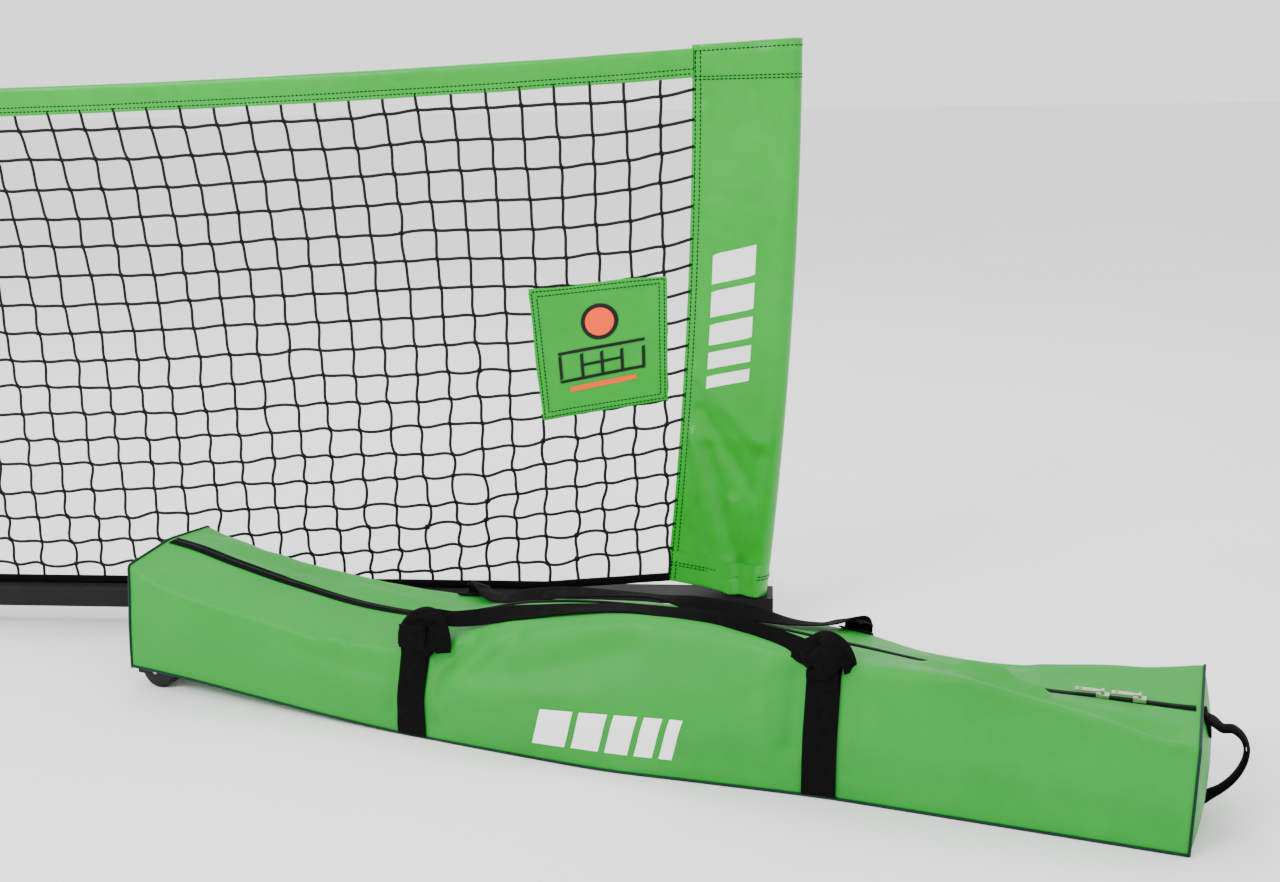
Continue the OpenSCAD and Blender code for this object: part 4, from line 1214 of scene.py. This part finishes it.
# straps round the bag
STRAPS = ((0.468, 0.138), (1.031, 0.172))
B = Builder()
for ls0, hz in STRAPS:
    lo, hi = ls0 - 0.0215, ls0 + 0.0215
    cols = np.linspace(lo, hi, 7)
    idx = np.linspace(36, 0, 60)
    idb = np.linspace(N1 - 1, N1 - 37, 60)
    base = bag_sections(LS, False)
    NBs = unit(np.cross(np.gradient(base, axis=0), np.gradient(base, axis=1)))
    if NBs[118, 20, 1] > 0:
        NBs = -NBs
    g, gn = [], []
    for c in cols:
        f = surf_at(QB, UI, LS, idx, np.full(60, c))
        fn = unit(surf_at(NBs, UI, LS, idx, np.full(60, c)))
        bk = surf_at(QB, UI, LS, idb, np.full(60, c))
        bn = unit(surf_at(NBs, UI, LS, idb, np.full(60, c)))
        a, z = f[-1], bk[0]
        t = np.linspace(0, 1, 26)[1:-1, None]
        bot = a * (1 - t) + z * t
        g.append(np.concatenate([f, bot, bk]))
        gn.append(np.concatenate([fn, np.tile([0, 0, -1.0], (24, 1)), bn]))
    g, gn = np.array(g), np.array(gn)
    for _ in range(6):
        gn[:, 1:-1] = unit(gn[:, :-2] + gn[:, 1:-1] * 2 + gn[:, 2:])
        g[:, 1:-1] = g[:, 1:-1] * 0.6 + (g[:, :-2] + g[:, 2:]) * 0.2
    lift = 0.0022
    out = g + gn * (lift + 0.0016)
    inn = g + gn * (lift - 0.0004)
    ring = np.concatenate([out, inn[::-1]], 0)
    d = np.r_[0, np.cumsum(np.linalg.norm(np.diff(g[3], axis=0), axis=1))]
    vv = np.concatenate([cols - lo, (cols - lo)[::-1]])
    uv = np.stack(np.broadcast_arrays(d[None, :], vv[:, None]), -1)
    k = B.n
    B.grid(floor_clear(bag(ring), 0.0006), close_u=True, uvs=uv)
    n_ = ring.shape[1]
    B.f.append([k + i * n_ for i in range(len(ring))])
    B.f.append([k + i * n_ + n_ - 1 for i in range(len(ring))][::-1])
    B.mi += [0, 0]
o = B.obj("wrap_straps", [M_WEB], sharp=40)
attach(o, "bag")
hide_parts("bag_straps")


def web_path(B, pts, width=0.036, n=90, ride_top=0.0, thick=0.0020, cup=0.0):
    """Webbing along points (l, w, h, nl, nw, nh, width share), in bag coordinates."""
    A = smooth_path(np.array(pts, float), n)
    P, N = A[:, :3].copy(), unit(A[:, 3:6])
    if ride_top:
        inside = (P[:, 1] > 0.012) & (P[:, 1] < 0.18)
        hh = top_h(P[:, 0], P[:, 1]) + ride_top
        P[:, 2] = np.where(inside, np.maximum(P[:, 2], hh), P[:, 2])
    ribbon(B, bag(P), bagv(N), width * A[:, 6], thick, 8, cup=cup)


def fold_patch(B, c, n, up, size, bend=0.004, thick=0.0032):
    """A corner of webbing folded over on itself: a small domed diamond with rounded edges."""
    n = unit(np.array(n, float))
    up = np.array(up, float)
    up = unit(up - n * (up @ n))
    sd = np.cross(up, n)
    k = np.linspace(-1, 1, 13)
    U, V = np.meshgrid(k, k)
    for sgn in (1, -1):
        e = np.maximum(np.abs(U), np.abs(V))
        y = sgn * thick / 2 * (1 - e**8) + bend * (1 - U**2) * 0.7 - bend * 0.5 * V**2
        P = (np.array(c, float) + (U * size[0] / 2)[..., None] * sd + (V * size[1] / 2)[..., None] * up + y[..., None] * n)
        B.grid(bag(P), uvs=np.stack([U * size[0] / 2, V * size[1] / 2], -1), flip=sgn < 0)


def rot2(a):
    """In-plane 'up' direction turned by a degrees from straight up towards +l."""
    return (math.sin(math.radians(a)), 0, math.cos(math.radians(a)))


def handles():
    # front handle: rises from each strap, folds over and lies along the top
    B = Builder()
    web_path(B, [
        (0.468, -0.0075, 0.104, 0, -1, 0.0, 1.1), (0.469, -0.006, 0.124, 0, -1, 0.15, 1.1), (0.473, 0.004, 0.141, 0.1, -0.8, 0.6, 0.9), (0.486, 0.018, 0.146, 0.2, -0.4, 1, 0.72),
        (0.510, 0.030, 0.140, 0.1, -0.7, 0.8, 0.66), (0.545, 0.042, 0.143, 0, -0.6, 0.8, 0.75), (0.600, 0.048, 0.155, 0, -0.4, 1, 0.85), (0.670, 0.050, 0.168, 0, -0.15, 1, 0.85),
        (0.740, 0.052, 0.178, 0, 0.0, 1, 0.85), (0.800, 0.052, 0.180, 0, -0.1, 1, 0.85), (0.850, 0.050, 0.178, 0, -0.4, 1, 0.75), (0.900, 0.044, 0.175, 0, -0.8, 0.8, 0.68),
        (0.950, 0.034, 0.172, 0, -0.9, 0.7, 0.72), (0.990, 0.022, 0.172, -0.1, -0.8, 0.8, 0.8), (1.014, 0.008, 0.174, -0.1, -0.9, 0.5, 0.9), (1.028, -0.004, 0.168, 0, -1, 0.2, 1.05), (1.031, -0.006, 0.150, 0, -1, 0, 1.1)],
        ride_top=0.004, n=160)
    web_path(B, [
        (0.447, 0.004, 0.100, -0.5, -0.8, 0.3, 0.8), (0.448, 0.004, 0.122, -0.6, -0.7, 0.5, 0.85), (0.458, 0.012, 0.141, -0.4, -0.4, 1, 0.9), (0.477, 0.018, 0.148, 0.1, -0.3, 1, 0.9),
        (0.496, 0.012, 0.139, 0.4, -0.6, 0.9, 0.85), (0.509, 0.002, 0.122, 0.4, -1, 0.5, 0.8), (0.512, 0.000, 0.102, 0.3, -1, 0.1, 0.7)], n=60, width=0.030)
    fold_patch(B, (0.492, 0.000, 0.118), (0.15, -1, 0.45), rot2(38), (0.034, 0.036))
    fold_patch(B, (1.036, -0.006, 0.178), (0.05, -1, 0.35), rot2(42), (0.037, 0.037), 0.006)
    fold_patch(B, (1.014, 0.004, 0.182), (-0.1, -1, 0.5), rot2(-30), (0.030, 0.032), 0.004)
    web_path(B, [
        (1.004, 0.010, 0.164, -0.5, -0.6, 0.6, 0.8), (1.010, 0.012, 0.186, -0.6, -0.5, 0.7, 0.85), (1.028, 0.016, 0.197, 0, -0.3, 1, 0.9), (1.048, 0.014, 0.190, 0.5, -0.4, 0.9, 0.85),
        (1.060, 0.010, 0.172, 0.7, -0.6, 0.5, 0.8), (1.062, 0.010, 0.158, 0.7, -0.6, 0.3, 0.7)], n=56, width=0.026)
    a = B.obj("front_handle_web", [M_WEB], sharp=45)
    # back handle
    B = Builder()
    m = BW
    web_path(B, [
        (0.468, m + 0.0045, 0.106, 0, 1, 0.0, 1.05), (0.468, m + 0.004, 0.122, 0, 1, 0.2, 1.0), (0.472, m - 0.004, 0.132, 0, 0.6, 0.8, 0.9), (0.488, m - 0.022, 0.132, 0.2, 0.3, 1, 0.8),
        (0.520, m - 0.048, 0.134, 0.1, -0.2, 1, 0.8), (0.570, m - 0.072, 0.150, 0, -0.4, 1, 0.85), (0.640, m - 0.082, 0.168, 0, -0.2, 1, 0.9), (0.720, m - 0.084, 0.178, 0, 0.1, 1, 0.9),
        (0.780, m - 0.084, 0.182, 0, 0.2, 1, 0.9), (0.840, m - 0.086, 0.180, 0, -0.4, 1, 0.85), (0.900, m - 0.082, 0.177, 0, -0.4, 1, 0.85), (0.960, m - 0.066, 0.166, 0, 0.1, 1, 0.85),
        (1.000, m - 0.040, 0.160, 0, 0.4, 1, 0.85), (1.022, m - 0.012, 0.160, 0, 0.7, 0.8, 0.95), (1.031, m + 0.002, 0.152, 0, 1, 0.2, 1.0), (1.031, m + 0.005, 0.138, 0, 1, 0, 1.05)], ride_top=0.004, n=160)
    fold_patch(B, (1.034, m - 0.012, 0.157), (0.1, 0.4, 1), rot2(40), (0.030, 0.030), 0.004)
    fold_patch(B, (0.474, m - 0.010, 0.130), (0.1, 0.4, 1), rot2(44), (0.028, 0.028), 0.004)
    b = B.obj("back_handle_web", [M_WEB], sharp=45)
    return a, b


a, b = handles()
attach(a, "front_handle")
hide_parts("carry_handle_front")
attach(b, "back_handle")
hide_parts("carry_handle_back")

# strap ends that stand up to the handles' stitching, and stay with the bag
B = Builder()
for ls0, hz in STRAPS:
    for s, w0 in ((-1, 0.0), (1, BW)):
        i0 = 30 if s < 0 else N1 - 31
        q = on_bag([ls0], [i0])[0]
        hz = hz if s < 0 else hz - 0.022
        web_path(B, [(ls0, q[1] + s * 0.0046, q[2] - 0.012, 0, s, 0.05, 1), (ls0, q[1] * 0.6 + 0.4 * (w0 + s * 0.002) + s * 0.0046, (q[2] + hz) / 2, 0, s, 0.1, 1),
                     (ls0, w0 + s * 0.0062, hz - 0.001, 0, s, 0.1, 1)], n=24, width=0.038)
o = B.obj("strap_ends", [M_WEB], sharp=45)
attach(o, "bag")

# towing handle on the end panel
B = Builder()
m = 0.09525
A = smooth_path(np.array([(1.4685, m, 0.131), (1.477, m, 0.127), (1.486, m, 0.121), (1.497, m, 0.122), (1.508, m, 0.114), (1.514, m, 0.099), (1.512, m, 0.080),
                          (1.503, m, 0.060), (1.490, m, 0.044), (1.478, m, 0.034), (1.4690, m, 0.024)]), 80)
t = np.linspace(0, 1, 80)
wd = 0.0185 + 0.008 * np.exp(-((t - 0.05) / 0.06) ** 2) + 0.008 * np.exp(-((t - 0.93) / 0.07) ** 2)
Nn = np.stack([np.cos(t * 3.1 - 0.4), 0.35 * np.sin(t * 9), np.sin(t * 3.1 - 0.4) + 0.2], 1)
T = unit(np.gradient(A, axis=0))
Nn = unit(np.cross(T, np.array([0, 1.0, 0])))
ribbon(B, bag(A + Nn * 0.0013), bagv(Nn), wd, 0.0022, 8, cup=0.0016)
ribbon(B, bag(A - Nn * 0.0013), bagv(-Nn), wd * 0.94, 0.0022, 8, cup=0.0012)
o = B.obj("tow_handle_web", [M_WEB], sharp=45)
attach(o, "tow_handle")
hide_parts("end_handle")
B = Builder()
for h0, h1 in ((0.112, 0.140), (0.008, 0.036)):
    hh = np.linspace(h0, h1, 12)
    k = 1.461 + 0.015 * (1 - (np.abs(hh - 0.072) / 0.075).clip(0, 1) ** 2.2) + 0.0012
    ribbon(B, bag(np.stack([k, np.full(12, m), hh], 1)), bagv((1, 0, 0)), 0.026, 0.003, 8)
o = B.obj("tow_handle_roots", [M_WEB], sharp=45)
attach(o, "bag")

# generic white bars on the bag's front
B = Builder()
nfr = I_TF - 4
arcf = np.array([QB[118, i] for i in range(nfr + 1)])
arcq = np.r_[0, np.cumsum(np.linalg.norm(np.diff(arcf, axis=0), axis=1))]
for i, (x0, w) in enumerate(((0.652, 0.046), (0.707, 0.038), (0.754, 0.031), (0.794, 0.024), (0.827, 0.017))):
    decal(B, QB[:, : nfr + 1].transpose(1, 0, 2), NB_[:, : nfr + 1].transpose(1, 0, 2), LS, arcq,
          [(x0, 0.026), (x0 + w, 0.026), (x0 + w + 0.016, 0.082), (x0 + 0.016, 0.082)], 0, 0.0006)
for q in range(len(B.v)):
    B.v[q] = bag(B.v[q])
o = B.obj("bag_print", [M_WHITE])
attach(o, "bag")

# generic white bars on the base bar, near the post
B = Builder()
for i, (x0, w) in enumerate(((2.560, 0.020), (2.586, 0.017), (2.609, 0.014), (2.629, 0.011), (2.646, 0.008))):
    z0, z1, sk = 0.0465, 0.0600, 0.004
    B.add([(x0, -0.0302, z0), (x0 + w, -0.0302, z0), (x0 + w + sk, -0.0302, z1), (x0 + sk, -0.0302, z1)], [(0, 1, 2, 3)])
o = B.obj("bar_print", [M_WHITE])
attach(o, "frame")

# ------------------------------------------------------------------ floor, light
me = bpy.data.meshes.new("floor")
me.from_pydata([(-30, -30, 0), (30, -30, 0), (30, 30, 0), (-30, 30, 0)], [], [(0, 1, 2, 3)])
fl = bpy.data.objects.new("floor", me)
COLL.objects.link(fl)
m, nt, b = new_mat("floor_pale")
n = noise(nt, coords(nt), 1.2, 3)
nt.links.new(mix(nt, ramp(nt, n, 0.3, 0.7), (0.86, 0.86, 0.86, 1), (0.9, 0.9, 0.9, 1)), b.inputs["Base Color"])
b.inputs["Roughness"].default_value = 0.9
me.materials.append(m)

w = bpy.data.worlds.new("studio")
bpy.context.scene.world = w
w.use_nodes = True
w.node_tree.nodes["Background"].inputs[0].default_value = (1, 1, 1, 1)
w.node_tree.nodes["Background"].inputs[1].default_value = 1.65


def area(name, loc, target, size, power):
    d = bpy.data.lights.new(name, "AREA")
    d.shape = "RECTANGLE"
    d.size, d.size_y = size
    d.energy = power
    o = bpy.data.objects.new(name, d)
    COLL.objects.link(o)
    o.location = loc
    o.rotation_euler = (Vector(target) - Vector(loc)).to_track_quat("-Z", "Y").to_euler()


area("key", (0.2, -3.0, 3.2), (2.2, 0, 0.3), (1.6, 1.2), 150)
area("fill", (4.8, -2.6, 2.2), (2.4, 0, 0.4), (2.0, 2.0), 25)
area("top", (2.0, 1.2, 3.6), (2.2, 0, 0.4), (3.5, 2.0), 70)
